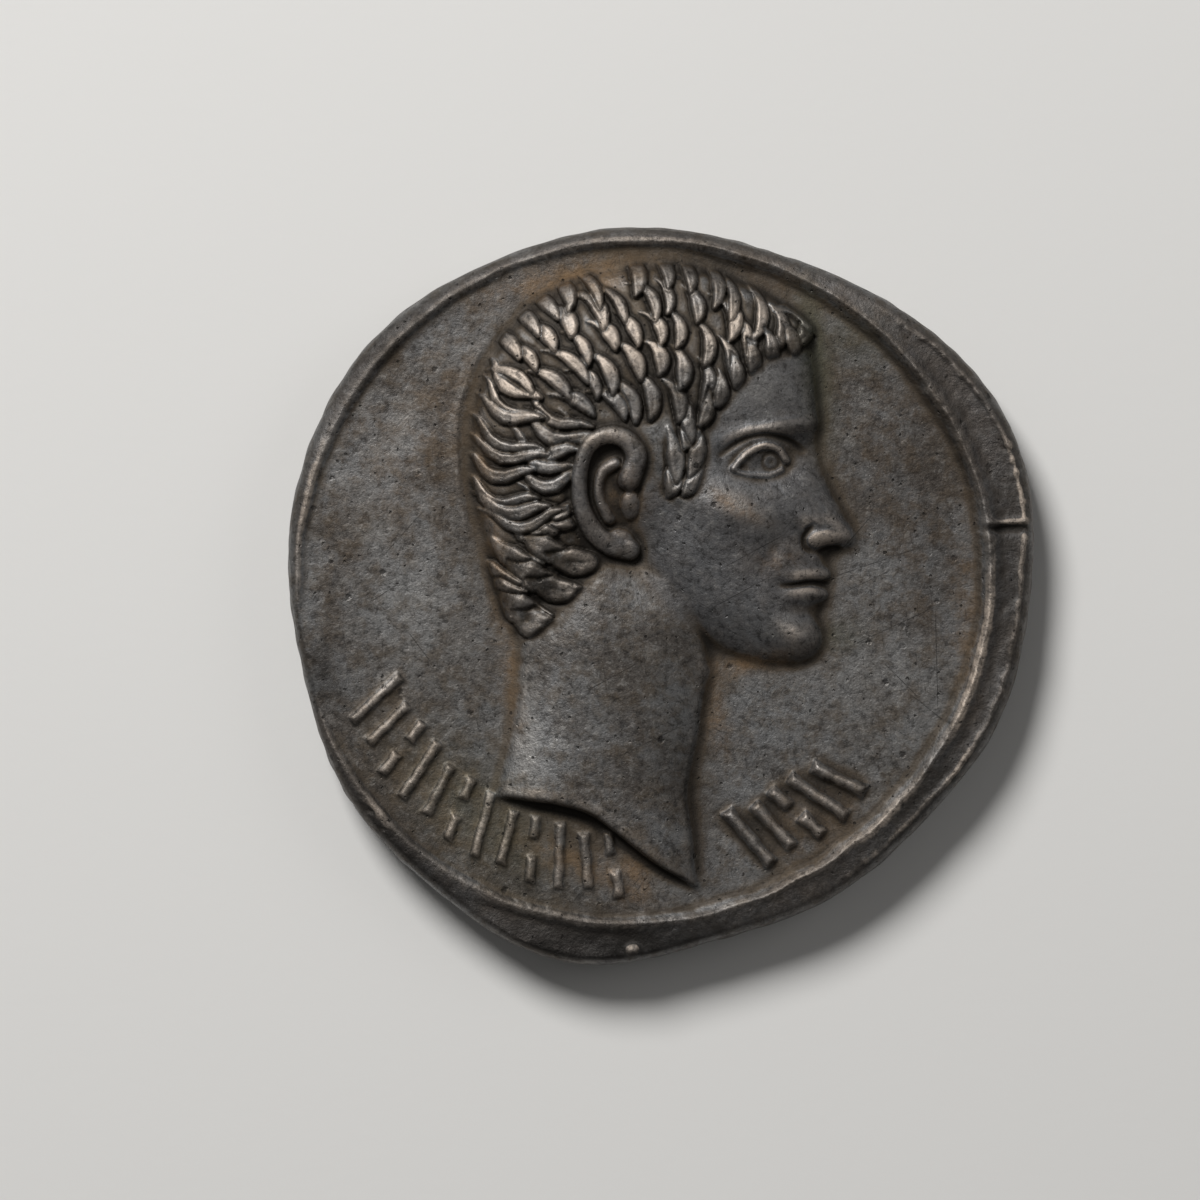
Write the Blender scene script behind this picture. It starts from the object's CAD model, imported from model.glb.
"""A thick hand-struck silver coin, toned dark grey, lying flat with its portrait side up.

The coin is one piece. Its two faces are relief maps built on a square raster: a rim, a head
with locks of hair and rows of strokes on one side, and tied ears of corn and plainer strokes
on the other. Both maps are folded onto the flan's outline and joined by its rounded wall into
one closed mesh. Sizes of the coin are millimetres until the mesh is made, sizes of the studio
round it are metres unless they say otherwise, and named angles are degrees.
"""
from __future__ import annotations

import logging
import math
from collections.abc import Sequence
from dataclasses import dataclass, field
from enum import Enum

import bpy
import numpy as np
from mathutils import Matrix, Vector

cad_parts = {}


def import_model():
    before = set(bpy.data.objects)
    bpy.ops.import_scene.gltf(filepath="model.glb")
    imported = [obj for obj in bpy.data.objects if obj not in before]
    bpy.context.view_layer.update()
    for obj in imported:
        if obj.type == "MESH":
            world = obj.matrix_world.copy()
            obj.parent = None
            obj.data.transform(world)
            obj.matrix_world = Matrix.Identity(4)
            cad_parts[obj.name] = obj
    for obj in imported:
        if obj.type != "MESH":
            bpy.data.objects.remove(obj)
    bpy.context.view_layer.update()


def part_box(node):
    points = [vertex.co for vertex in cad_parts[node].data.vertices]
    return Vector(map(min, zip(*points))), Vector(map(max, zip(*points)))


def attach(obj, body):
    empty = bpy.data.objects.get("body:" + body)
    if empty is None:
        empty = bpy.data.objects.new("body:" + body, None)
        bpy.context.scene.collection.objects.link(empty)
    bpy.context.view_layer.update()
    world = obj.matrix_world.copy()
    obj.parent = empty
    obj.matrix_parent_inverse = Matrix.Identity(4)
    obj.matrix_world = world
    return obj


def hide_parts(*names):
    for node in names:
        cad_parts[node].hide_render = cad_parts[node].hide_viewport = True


log = logging.getLogger("silver_coin")

Point = tuple[float, float]
Colour = tuple[float, float, float]
Grid = np.ndarray
Socket = bpy.types.NodeSocket
METRES = 0.001
TINY = 1e-12


def smoothstep(low: float, high: float, value: Grid | float) -> Grid:
    """Ease from 0 at low to 1 at high.

    Args:
        low: Value where the step starts.
        high: Value where it ends; it may be below low.
        value: Number or grid to ease.

    Returns:
        The eased share, from 0 to 1.
    """
    share = np.clip((value - low) / (high - low), 0.0, 1.0)
    return share * share * (3.0 - 2.0 * share)


def bell(distance: Grid, width: float) -> Grid:
    """Return a bell-shaped hump: 1 at distance 0, about a third at one width."""
    return np.exp(-((distance / width) ** 2))


def cap(share: Grid, power: float) -> Grid:
    """Return a rounded cap: 1 in the middle and 0 where the share reaches 1."""
    return np.clip(1.0 - share * share, 0.0, 1.0) ** power


def dome(depth: Grid, width: float, power: float) -> Grid:
    """Return a dome that climbs with depth behind an outline and is level past width."""
    return (1.0 - (1.0 - np.clip(depth / width, 0.0, 1.0)) ** 2) ** power


def smooth_max(first: Grid, second: Grid, soft: Grid) -> Grid:
    """Return the higher of two grids, with the crease between them rounded by soft."""
    share = np.clip(0.5 + 0.5 * (first - second) / soft, 0.0, 1.0)
    return second * (1.0 - share) + first * share + soft * share * (1.0 - share)


CHANCE_STRETCH = 12.9898
CHANCE_SPREAD = 43758.5453
WANDER_WAVES = 9
WANDER_SEED_STEP = 3.1


def chance(seed: float) -> float:
    """Return a number from -1 to 1 that looks random and is the same each time."""
    wave = math.sin(seed * CHANCE_STRETCH) * CHANCE_SPREAD
    return 2.0 * (wave - math.floor(wave)) - 1.0


def wander(x: Grid, y: Grid, length: float, seed: int) -> Grid:
    """Make smooth random hills and hollows from crossed waves.

    Args:
        x: Places along X.
        y: Places along Y.
        length: Mean length of the waves.
        seed: Which set of waves to take.

    Returns:
        Heights from about -1 to 1.
    """
    total = np.zeros_like(x)
    for wave in range(WANDER_WAVES):
        own_seed = seed + WANDER_SEED_STEP * wave
        turn = math.pi * chance(own_seed)
        count = (1.1 + 0.5 * chance(own_seed + 1)) / length
        start = math.pi * chance(own_seed + 2)
        total += np.sin((x * math.cos(turn) + y * math.sin(turn)) * count * 2 * math.pi + start)
    return total / (WANDER_WAVES / 2)


def smooth_curve(points: Sequence[Point], per_span: int = 6) -> Grid:
    """Lay a smooth open curve through points.

    Args:
        points: Points that the curve passes through.
        per_span: Steps from each point to the next.

    Returns:
        The curve's points, one row each.
    """
    given = np.asarray(points, dtype=float)
    last = len(given) - 1
    curve = []
    for span in range(last):
        before, start, end, after = (given[min(max(span + k, 0), last)] for k in (-1, 0, 1, 2))
        for share in np.arange(per_span) / per_span:
            square = (2 * before - 5 * start + 4 * end - after) * share**2
            cube = (3 * start - before - 3 * end + after) * share**3
            curve.append(0.5 * (2 * start + (end - before) * share + square + cube))
    curve.append(given[-1])
    return np.array(curve)


class Relief:
    """Heights above the plain field on a square raster round the coin's middle."""

    def __init__(self, half: float, step: float) -> None:
        """Lay out a level raster.

        Args:
            half: Reach of the raster from the middle.
            step: Distance between its points.
        """
        count = int(round(2 * half / step)) + 1
        self.step = step
        self.half = half
        self.axis = np.arange(count) * step - half
        self.x, self.y = np.meshgrid(self.axis, self.axis)
        self.z = np.zeros_like(self.x)

    def window(self, points: Grid, margin: float) -> tuple[slice, slice]:
        """Return the part of the raster within a margin round some points.

        Args:
            points: Places to stay near, one row each.
            margin: How far round them to reach.

        Returns:
            The rows and the columns of that part.
        """
        low = np.searchsorted(self.axis, np.min(points, axis=0) - margin)
        high = np.searchsorted(self.axis, np.max(points, axis=0) + margin)
        return slice(low[1], high[1]), slice(low[0], high[0])

    def along(self, line: Grid, margin: float) -> tuple[tuple[slice, slice], Grid, Grid]:
        """Measure the raster against an open line.

        Args:
            line: Points of the line.
            margin: How far from the line to measure.

        Returns:
            The window measured, the distance to the line and the share of its length there.
        """
        part = self.window(line, margin)
        x, y = self.x[part], self.y[part]
        spans = np.diff(line, axis=0)
        lengths = np.hypot(spans[:, 0], spans[:, 1])
        passed = np.concatenate([[0.0], np.cumsum(lengths)])
        nearest = np.full(x.shape, np.inf)
        share = np.zeros_like(x)
        for start, span, length, before in zip(line[:-1], spans, lengths, passed[:-1]):
            dx, dy = x - start[0], y - start[1]
            t = np.clip((dx * span[0] + dy * span[1]) / max(length**2, TINY), 0.0, 1.0)
            distance = np.hypot(dx - t * span[0], dy - t * span[1])
            closer = distance < nearest
            nearest = np.where(closer, distance, nearest)
            share = np.where(closer, (before + t * length) / passed[-1], share)
        return part, nearest, share

    def depth_inside(self, outline: Grid) -> Grid:
        """Return the distance to a closed outline, more than zero inside it.

        Args:
            outline: Corners of the outline in order.

        Returns:
            The distance at each point of the raster, less than zero outside.
        """
        nearest = np.full(self.x.shape, np.inf)
        inside = np.zeros(self.x.shape, dtype=bool)
        for (ax, ay), (bx, by) in zip(outline, np.roll(outline, -1, axis=0)):
            ex, ey = bx - ax, by - ay
            dx, dy = self.x - ax, self.y - ay
            t = np.clip((dx * ex + dy * ey) / max(ex * ex + ey * ey, TINY), 0.0, 1.0)
            nearest = np.minimum(nearest, (dx - t * ex) ** 2 + (dy - t * ey) ** 2)
            if ay != by:
                inside ^= ((self.y >= ay) != (self.y >= by)) & (self.x < ex * (self.y - ay) / (by - ay) + ax)
        return np.sqrt(nearest) * np.where(inside, 1.0, -1.0)

    def softened(self, grid: Grid, radius: float) -> Grid:
        """Return a grid spread with three box blurs, close to a bell of that radius.

        Args:
            grid: Values on the raster.
            radius: How far they spread.

        Returns:
            The spread values.
        """
        reach = int(round(radius / self.step))
        if reach < 1:
            return grid.copy()
        spread = grid
        for axis in (0, 1, 0, 1, 0, 1):
            pad = [(0, 0), (0, 0)]
            pad[axis] = (reach + 1, reach)
            sums = np.cumsum(np.pad(spread, pad, mode="edge"), axis=axis)
            count = spread.shape[axis]
            high = np.take(sums, np.arange(2 * reach + 1, 2 * reach + 1 + count), axis=axis)
            low = np.take(sums, np.arange(count), axis=axis)
            spread = (high - low) / (2 * reach + 1)
        return spread

    def sampled(self, grid: Grid, x: Grid, y: Grid) -> Grid:
        """Return a grid's values between the raster's points, at places x and y.

        Args:
            grid: Values on the raster.
            x: Places along X.
            y: Places along Y.

        Returns:
            The value at each place.
        """
        last = len(self.axis) - 1.001
        column = np.clip((x + self.half) / self.step, 0, last)
        row = np.clip((y + self.half) / self.step, 0, last)
        i, j = np.floor(column).astype(int), np.floor(row).astype(int)
        s, t = column - i, row - j
        low = grid[j, i] * (1 - s) + grid[j, i + 1] * s
        high = grid[j + 1, i] * (1 - s) + grid[j + 1, i + 1] * s
        return low * (1 - t) + high * t


@dataclass(frozen=True)
class Outline:
    """A circle bent by waves, each given as how many, share of the radius and turn."""

    waves: tuple[tuple[int, float, float], ...]

    def bent(self, angle: Grid) -> Grid:
        """Return the radius at an angle in radians, for a mean radius of one.

        Args:
            angle: Angle about the middle.

        Returns:
            The radius there.
        """
        total = np.ones_like(angle)
        for count, share, turn in self.waves:
            total = total + share * np.cos(count * (angle - math.radians(turn)))
        return total

    def middle_and_width(self) -> tuple[Point, float]:
        """Return the middle of the outline's box and its width, for a mean radius of one.

        Returns:
            The middle and the width.
        """
        angle = np.linspace(0.0, 2 * math.pi, 721)
        x = self.bent(angle) * np.cos(angle)
        y = self.bent(angle) * np.sin(angle)
        return ((x.min() + x.max()) / 2, (y.min() + y.max()) / 2), x.max() - x.min()


@dataclass(frozen=True)
class Flan:
    """The hammered blank: its outline, thickness and rounded edge."""

    width: float
    outline: Outline = Outline((
        (1, 0.0265, 124.2), (2, 0.0199, 24.4), (3, 0.0284, 15.2), (4, 0.0041, -36.8), (5, 0.0067, 29.5),
        (6, 0.0054, 25.7), (7, 0.0035, -6.5), (8, 0.0042, -14.6), (9, 0.0045, 16.7),
    ))
    field_thickness: float = 1.75
    edge_round: float = 0.32
    edge_fall: float = 0.5
    edge_fall_width: float = 0.8

    @property
    def radius(self) -> float:
        """Mean radius of the flan."""
        return self.width / self.outline.middle_and_width()[1]

    @property
    def middle(self) -> Point:
        """Middle of the flan's box, which is the part's origin."""
        (x, y), _ = self.outline.middle_and_width()
        return x * self.radius, y * self.radius

    def inside(self, x: Grid, y: Grid) -> Grid:
        """Return how far places lie inside the flan's edge."""
        return self.radius * self.outline.bent(np.arctan2(y, x)) - np.hypot(x, y)

    def roll_off(self, inside: Grid) -> Grid:
        """Return how far a face has dropped towards the wall."""
        share = np.clip(inside / self.edge_fall_width, 0.0, 1.0)
        return self.edge_fall * (1.0 - np.sqrt(1.0 - (1.0 - share) ** 2))


@dataclass(frozen=True)
class Die:
    """One of the two dies: where its edge line fell on the flan."""

    middle: Point
    radius: float
    outline: Outline = Outline(((2, 0.0138, 24.7), (3, 0.007, 0.9)))

    def turn(self, x: Grid, y: Grid) -> Grid:
        """Return the angle of places about the die's middle, in radians."""
        return np.arctan2(y - self.middle[1], x - self.middle[0])

    def reach(self, turn: Grid) -> Grid:
        """Return the edge line's radius at an angle in radians."""
        return self.radius * self.outline.bent(turn)

    def outside(self, x: Grid, y: Grid) -> Grid:
        """Return how far places lie outside the edge line."""
        return np.hypot(x - self.middle[0], y - self.middle[1]) - self.reach(self.turn(x, y))

    def place(self, reach: float, turn: float, sideways: float = 0.0) -> Point:
        """Return the place at a distance and an angle in radians, moved sideways."""
        c, s = math.cos(turn), math.sin(turn)
        return self.middle[0] + reach * c - sideways * s, self.middle[1] + reach * s + sideways * c


@dataclass(frozen=True)
class Cut:
    """A short furrow on the band, or a ridge where its depth is less than zero.

    Its ends are measured from the middle of the coin's box.
    """

    start: Point
    end: Point
    half: float
    depth: float


@dataclass(frozen=True)
class Rim:
    """The band that the portrait die left round its edge line.

    A pair of angles or distances says where a feature starts and where it is whole.
    """

    flan: Flan
    die: Die
    rise: float = 0.3
    slope: float = 0.5
    crest: float = 0.09
    crest_half: float = 0.1
    blunt: float = 0.35
    keen_low: Point = (-100.0, -80.0)
    keen_high: Point = (105.0, 80.0)
    fall: float = 0.2
    fall_reach: Point = (0.05, 0.55)
    room: Point = (0.7, 1.7)
    outer_ridge_rise: float = 0.16
    outer_ridge_half: float = 0.11
    outer_ridge_inset: float = 0.42
    ridge_low: Point = (-62.0, -30.0)
    ridge_high: Point = (62.0, 40.0)
    fold_turn: float = 9.5
    fold_gap: float = 0.15
    fold_length: float = 1.2
    fold_rise: float = 0.14
    fold_half: float = 0.11
    fold_slant: float = -0.012
    groove_half: float = 0.13
    groove_drop: float = 0.24
    nub_radius: float = 0.38
    nub_rise: float = 0.26
    nub_turn: float = -94.7
    nub_inset: float = 0.42
    nub_x: float = -1.0
    cuts: tuple[Cut, ...] = (
        Cut((-10.75, -7.1), (-9.95, -7.5), 0.08, 0.2),
        Cut((-10.3, -8.0), (-9.5, -8.1), 0.06, 0.16),
        Cut((-10.2, -8.35), (-9.35, -8.4), 0.06, 0.16),
        Cut((-6.7, -11.2), (-4.1, -12.2), 0.1, -0.16),
        Cut((-6.9, -10.5), (-3.4, -11.7), 0.16, 0.08),
        Cut((-5.0, 11.75), (-4.3, 12.05), 0.12, 0.12),
        Cut((11.7, 5.2), (12.3, 5.0), 0.06, 0.06),
        Cut((10.9, -5.2), (11.7, -5.6), 0.05, 0.06),
    )

    def stamp(self, relief: Relief) -> None:
        """Raise the rim, its crest and the outer ridge on the relief.

        Args:
            relief: Map of heights that it is raised on.
        """
        x, y = relief.x, relief.y
        inside = self.flan.inside(x, y)
        outside = self.die.outside(x, y)
        turn = np.degrees(self.die.turn(x, y))
        roomy = smoothstep(*self.room, inside + outside)
        on_right = smoothstep(*self.ridge_low, turn) * smoothstep(*self.ridge_high, turn)
        keen_below, keen_above = smoothstep(*self.keen_low, turn), smoothstep(*self.keen_high, turn)
        keen = self.blunt + (1 - self.blunt) * keen_below * keen_above
        ragged = 1.0 + 0.35 * wander(x, y, 1.4, 11) + 0.3 * wander(x, y, 0.34, 12)
        outside = outside + 0.035 * wander(x, y, 2.6, 21) + 0.015 * wander(x, y, 0.4, 22)
        relief.z += self.rise * smoothstep(-self.slope, 0, outside)
        relief.z += self.crest * ragged * keen * bell(outside, self.crest_half)
        relief.z -= self.fall * roomy * smoothstep(*self.fall_reach, outside)
        off_line = inside - self.outer_ridge_inset + 0.05 * wander(x, y, 1.3, 5) + 0.02 * wander(x, y, 0.4, 6)
        relief.z += self.outer_ridge_rise * ragged * on_right * roomy * bell(off_line, self.outer_ridge_half)
        relief.z += 0.016 * wander(x, y, 0.45, 33) * smoothstep(0.0, 0.2, outside)
        relief.z -= self.flan.roll_off(inside)
        self.stamp_fold(relief)
        self.stamp_nub(relief)
        for cut in self.cuts:
            line = np.array([cut.start, cut.end]) + self.flan.middle
            part, distance, share = relief.along(line, 3 * cut.half)
            fade = smoothstep(0.0, 0.25, share) * smoothstep(1.0, 0.75, share)
            relief.z[part] -= cut.depth * (0.25 + 0.75 * fade) * bell(distance, cut.half)

    def stamp_fold(self, relief: Relief) -> None:
        """Lay the lapped fold across the band on the right.

        Args:
            relief: Map of heights that it is raised on.
        """
        turn = math.radians(self.fold_turn)
        start = float(self.die.reach(turn)) + self.fold_gap
        ends = [(start + s * self.fold_length, turn + self.fold_slant * s) for s in (0.0, 0.5, 1.0)]
        line = np.array([self.die.place(reach, angle) for reach, angle in ends])
        part, distance, _ = relief.along(line, 0.5)
        relief.z[part] += self.fold_rise * bell(distance, self.fold_half)
        part, distance, _ = relief.along(line - (0.0, self.groove_drop), 0.5)
        relief.z[part] -= self.fold_rise * bell(distance, self.groove_half)

    def stamp_nub(self, relief: Relief) -> None:
        """Raise the small lump on the lower edge.

        Args:
            relief: Map of heights that it is raised on.
        """
        edge = self.flan.radius * float(self.flan.outline.bent(math.radians(self.nub_turn)))
        reach = edge - self.nub_inset
        place = (self.nub_x, -math.sqrt(reach**2 - self.nub_x**2))
        distance = np.hypot(relief.x - place[0], relief.y - place[1])
        relief.z += self.nub_rise * cap(np.minimum(distance / self.nub_radius, 1.0), 0.9)


@dataclass(frozen=True)
class StrokeRow:
    """A row of leaning strokes along a die's edge, where every third one is parted in two.

    The parts of a parted stroke are given by their middle and length, as shares of a whole one.
    """

    die: Die
    start: float
    count: int
    pitch: float = 5.5
    lean: float = 16.0
    length: float = 2.5
    half: float = 0.27
    rise: float = 0.3
    flank: float = 0.2
    foot: float = 0.03
    gap: float = 0.3
    rim_slope: float = 0.5
    short_share: float = 0.84
    parts: tuple[Point, ...] = ((0.22, 0.44), (0.78, 0.4))
    sway: float = 3.0

    def stamp(self, relief: Relief) -> None:
        """Raise every stroke of the row on the relief.

        Args:
            relief: Map of heights that it is raised on.
        """
        for place in range(self.count):
            turn = math.radians(self.start + place * self.pitch)
            outer = float(self.die.reach(turn)) - self.rim_slope - self.gap
            whole = ((0.5, self.short_share if place % 3 else 1.0),)
            for share, part in self.parts if place % 3 == 2 else whole:
                sideways = (0.5 - share) * self.length * math.tan(math.radians(self.lean))
                middle = self.die.place(outer - share * self.length, turn, sideways)
                heading = turn + math.radians(self.lean + self.sway * chance(self.start + 7 * place))
                self.stamp_stroke(relief, middle, heading, part * self.length)

    def stamp_stroke(self, relief: Relief, middle: Point, heading: float, length: float) -> None:
        """Raise one flat-topped stroke whose ends spread like wedges.

        Args:
            relief: Map to raise it on.
            middle: Middle of the stroke.
            heading: Its direction in radians.
            length: Its whole length.
        """
        part = relief.window(np.array([middle, middle]), 0.5 * length + 0.4)
        dx, dy = relief.x[part] - middle[0], relief.y[part] - middle[1]
        along = np.abs(dx * math.cos(heading) + dy * math.sin(heading))
        across = np.abs(-dx * math.sin(heading) + dy * math.cos(heading))
        half = self.half * (0.96 + 0.08 * smoothstep(0.5 * length - 0.6, 0.5 * length, along))
        inset = np.minimum(half - across, 0.5 * length - along)
        inset = inset + 0.03 * wander(relief.x[part], relief.y[part], 0.8, 150)
        relief.z[part] += self.rise * smoothstep(-0.04, self.flank, inset) ** 0.8
        relief.z[part] -= self.foot * bell(inset + 0.12, 0.1)


class LockKind(Enum):
    """How a lock of hair is cut: a sickle, a broad leaf, a long wave or a petal with a sharp tip."""

    SICKLE = "sickle"
    LEAF = "leaf"
    WAVE = "wave"
    PETAL = "petal"


@dataclass(frozen=True)
class LockRow:
    """A row of locks with their roots on an arc round the ear, in head units and degrees."""

    kind: LockKind
    radius: float
    start: float
    end: float
    rise: float = 1.0


@dataclass(frozen=True)
class LockShape:
    """The common form of one kind of lock, in head units and degrees."""

    length: float
    half: float
    spacing: float
    bend: float
    belly: float
    point: float
    turned: float = 0.0


LOCK_SHAPES = {
    LockKind.SICKLE: LockShape(0.47, 0.072, 0.25, -96, 0.58, 0.62),
    LockKind.LEAF: LockShape(0.52, 0.092, 0.2, -40, 0.5, 0.75),
    LockKind.WAVE: LockShape(0.78, 0.07, 0.185, -76, 0.5, 0.6),
    LockKind.PETAL: LockShape(0.5, 0.125, 0.24, 66, 0.42, 0.9, -18),
}


@dataclass(frozen=True)
class Lock:
    """One lock of hair: its middle line and its outline."""

    line: Grid
    half: float
    belly: float
    point: float
    rise: float = 1.0


@dataclass(frozen=True)
class FaceForm:
    """One broad swelling or hollow of the face, in head units."""

    middle: Point
    reach: Point
    rise: float
    lean: float = 0.0


@dataclass
class Portrait:
    """A bare head in profile, calm and evenly proportioned, with short combed locks.

    Its unit is a third of the face. Points are in units from the facial line and the chin,
    which lie at the origin, itself given in units from the die's middle. A comb is the hair's
    direction where it parts, and how much it turns with each degree from there.
    """

    die: Die
    origin: Point = (1.556, -0.7)
    crown_gap: float = 1.05
    cut_gap: float = 1.18
    face_rise: float = 1.18
    neck_rise: float = 0.88
    hair_rise: float = 0.07
    lock_rise: float = 0.25
    ear_rise: float = 0.42
    halo_rise: float = 0.06
    halo_gap: float = 0.55
    crown_units: float = 3.496
    cut_units: float = -2.06
    profile: tuple[Point, ...] = (
        (-0.05, 2.84), (0.0, 2.6), (0.02, 2.32), (0.045, 2.1), (0.0, 1.93), (0.035, 1.76), (0.15, 1.5),
        (0.27, 1.28), (0.35, 1.12), (0.325, 1.02), (0.2, 0.985), (0.09, 0.97), (0.08, 0.88),
        (0.13, 0.79), (0.12, 0.72), (0.05, 0.675), (0.1, 0.62), (0.1, 0.55), (0.02, 0.465),
        (0.015, 0.38), (0.065, 0.27), (0.06, 0.13), (-0.02, 0.02), (-0.16, -0.03),
    )
    jaw: tuple[Point, ...] = ((-0.45, -0.02), (-0.8, 0.08), (-1.15, 0.28), (-1.5, 0.62), (-1.66, 1.0))
    skull_middle: Point = (-1.53, 1.96)
    skull_radius: float = 1.53
    skull_ends: Point = (34.0, 185.0)
    brow_swell: float = 0.27
    brow_swell_from: float = 95.0
    brow_swell_over: float = 62.0
    nape: tuple[Point, ...] = ((-3.03, 1.45), (-2.94, 1.05), (-2.83, 0.65), (-2.7, 0.25))
    neck_back: tuple[Point, ...] = ((-2.68, 0.3), (-2.7, -0.1), (-2.76, -0.6), (-2.85, -1.0), (-2.93, -1.19))
    neck_cut: tuple[Point, ...] = (
        (-2.63, -1.25), (-2.28, -1.3), (-2.0, -1.39), (-1.74, -1.58), (-1.47, -1.79), (-1.2, -1.95),
        (-0.96, -2.06),
    )
    neck_front: tuple[Point, ...] = (
        (-1.02, -1.6), (-1.06, -1.16), (-0.98, -0.7), (-0.93, -0.36), (-0.87, -0.1),
    )
    throat: tuple[Point, ...] = ((-1.0, 0.6), (-2.0, 1.2))
    hairline: tuple[Point, ...] = (
        (-0.02, 2.83), (-0.2, 2.72), (-0.42, 2.7), (-0.62, 2.52), (-0.8, 2.32), (-0.92, 2.08),
        (-1.0, 1.8), (-1.08, 1.52), (-1.22, 1.36), (-1.38, 1.55), (-1.5, 1.8),
    )
    earline: tuple[Point, ...] = (
        (-1.62, 1.9), (-1.9, 1.95), (-2.15, 1.7), (-2.2, 1.35), (-2.08, 1.05), (-1.95, 0.86),
        (-2.15, 0.6), (-2.35, 0.38), (-2.6, 0.18),
    )
    forms: tuple[FaceForm, ...] = (
        FaceForm((-0.42, 1.74), (0.33, 0.18), -0.38),
        FaceForm((-0.32, 2.06), (0.42, 0.075), 0.2, 10),
        FaceForm((-0.14, 1.88), (0.14, 0.1), -0.12),
        FaceForm((-0.3, 2.4), (0.4, 0.24), 0.06),
        FaceForm((-0.78, 1.33), (0.32, 0.2), 0.14, -25),
        FaceForm((-0.42, 0.92), (0.1, 0.3), -0.1, -25),
        FaceForm((-0.95, 0.78), (0.4, 0.3), -0.06),
        FaceForm((-0.32, 0.66), (0.09, 0.1), -0.07),
        FaceForm((-0.14, 0.2), (0.19, 0.16), 0.13),
        FaceForm((-0.95, 2.1), (0.25, 0.3), -0.05),
        FaceForm((-0.12, 0.44), (0.2, 0.07), -0.06),
    )
    lock_origin: Point = (-1.6, 1.9)
    parting: float = 30.0
    front_comb: Point = (-98.0, 0.25)
    back_comb: Point = (-90.0, 0.476)
    root_play: float = 0.03
    heading_play: float = 10.0
    length_play: float = 0.17
    half_play: float = 0.2
    bend_play: float = 0.3
    lock_rows: tuple[LockRow, ...] = (
        LockRow(LockKind.LEAF, 0.33, -62, 62, 0.75),
        LockRow(LockKind.WAVE, 0.78, 148, 200, 0.8),
        LockRow(LockKind.PETAL, 1.0, 206, 236, 0.9),
        LockRow(LockKind.LEAF, 0.58, -30, 74, 0.8),
        LockRow(LockKind.SICKLE, 0.66, 72, 156, 0.8),
        LockRow(LockKind.WAVE, 1.12, 148, 210),
        LockRow(LockKind.PETAL, 1.26, 207, 241),
        LockRow(LockKind.SICKLE, 0.93, 31, 158),
        LockRow(LockKind.SICKLE, 1.21, 31, 158),
        LockRow(LockKind.PETAL, 1.53, 208, 244),
        LockRow(LockKind.WAVE, 1.52, 148, 208),
        LockRow(LockKind.SICKLE, 1.48, 40, 158),
        LockRow(LockKind.PETAL, 1.8, 212, 247),
        LockRow(LockKind.SICKLE, 1.74, 43, 156),
        LockRow(LockKind.SICKLE, 1.97, 43, 86),
    )
    fringe: tuple[Point, ...] = (
        (-0.3, 3.0), (-0.47, 2.96), (-0.62, 2.86), (-0.76, 2.73), (-0.87, 2.58), (-0.96, 2.42),
    )
    fringe_length: float = 1.29
    brow_root: Point = (-0.38, 3.1)
    brow_length: float = 2.03
    unit: float = field(init=False)
    face_depth: Grid = field(init=False, repr=False)
    hair_depth: Grid = field(init=False, repr=False)

    def __post_init__(self) -> None:
        """Fit the head's unit between the edge line and its two gaps."""
        room = 2 * self.die.radius - self.crown_gap - self.cut_gap
        self.unit = room / (self.crown_units - self.cut_units)

    def on_coin(self, points: Sequence[Point]) -> Grid:
        """Return points in head units as places on the coin.

        Args:
            points: Points in head units.

        Returns:
            The places, one row each.
        """
        given = np.asarray(points, dtype=float)
        x, y = self.die.middle
        return given * self.unit + (x + self.origin[0] * self.unit, y + self.origin[1] * self.unit)

    def curve(self, points: Sequence[Point]) -> Grid:
        """Return a smooth curve on the coin through points in head units."""
        return smooth_curve(self.on_coin(points))

    def skull(self) -> list[Point]:
        """Return the skull's top and back: a circle that swells out over the forehead.

        Returns:
            Points of the line in head units, from the forehead to the nape.
        """
        line = []
        for degrees in np.linspace(*self.skull_ends, 12):
            over_brow = min(max((self.brow_swell_from - degrees) / self.brow_swell_over, 0.0), 1.0)
            reach = self.skull_radius + self.brow_swell * over_brow**1.6
            turn = math.radians(degrees)
            x = self.skull_middle[0] + reach * math.cos(turn)
            y = self.skull_middle[1] + reach * math.sin(turn)
            line.append((x, y))
        return line

    def stamp(self, relief: Relief) -> None:
        """Raise the whole head on the relief, from its masses to its features.

        Args:
            relief: Map of heights that it is raised on.
        """
        self.stamp_masses(relief)
        self.stamp_hair(relief)
        self.stamp_eye(relief)
        self.stamp_nose_and_mouth(relief)
        self.stamp_ear(relief)

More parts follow.
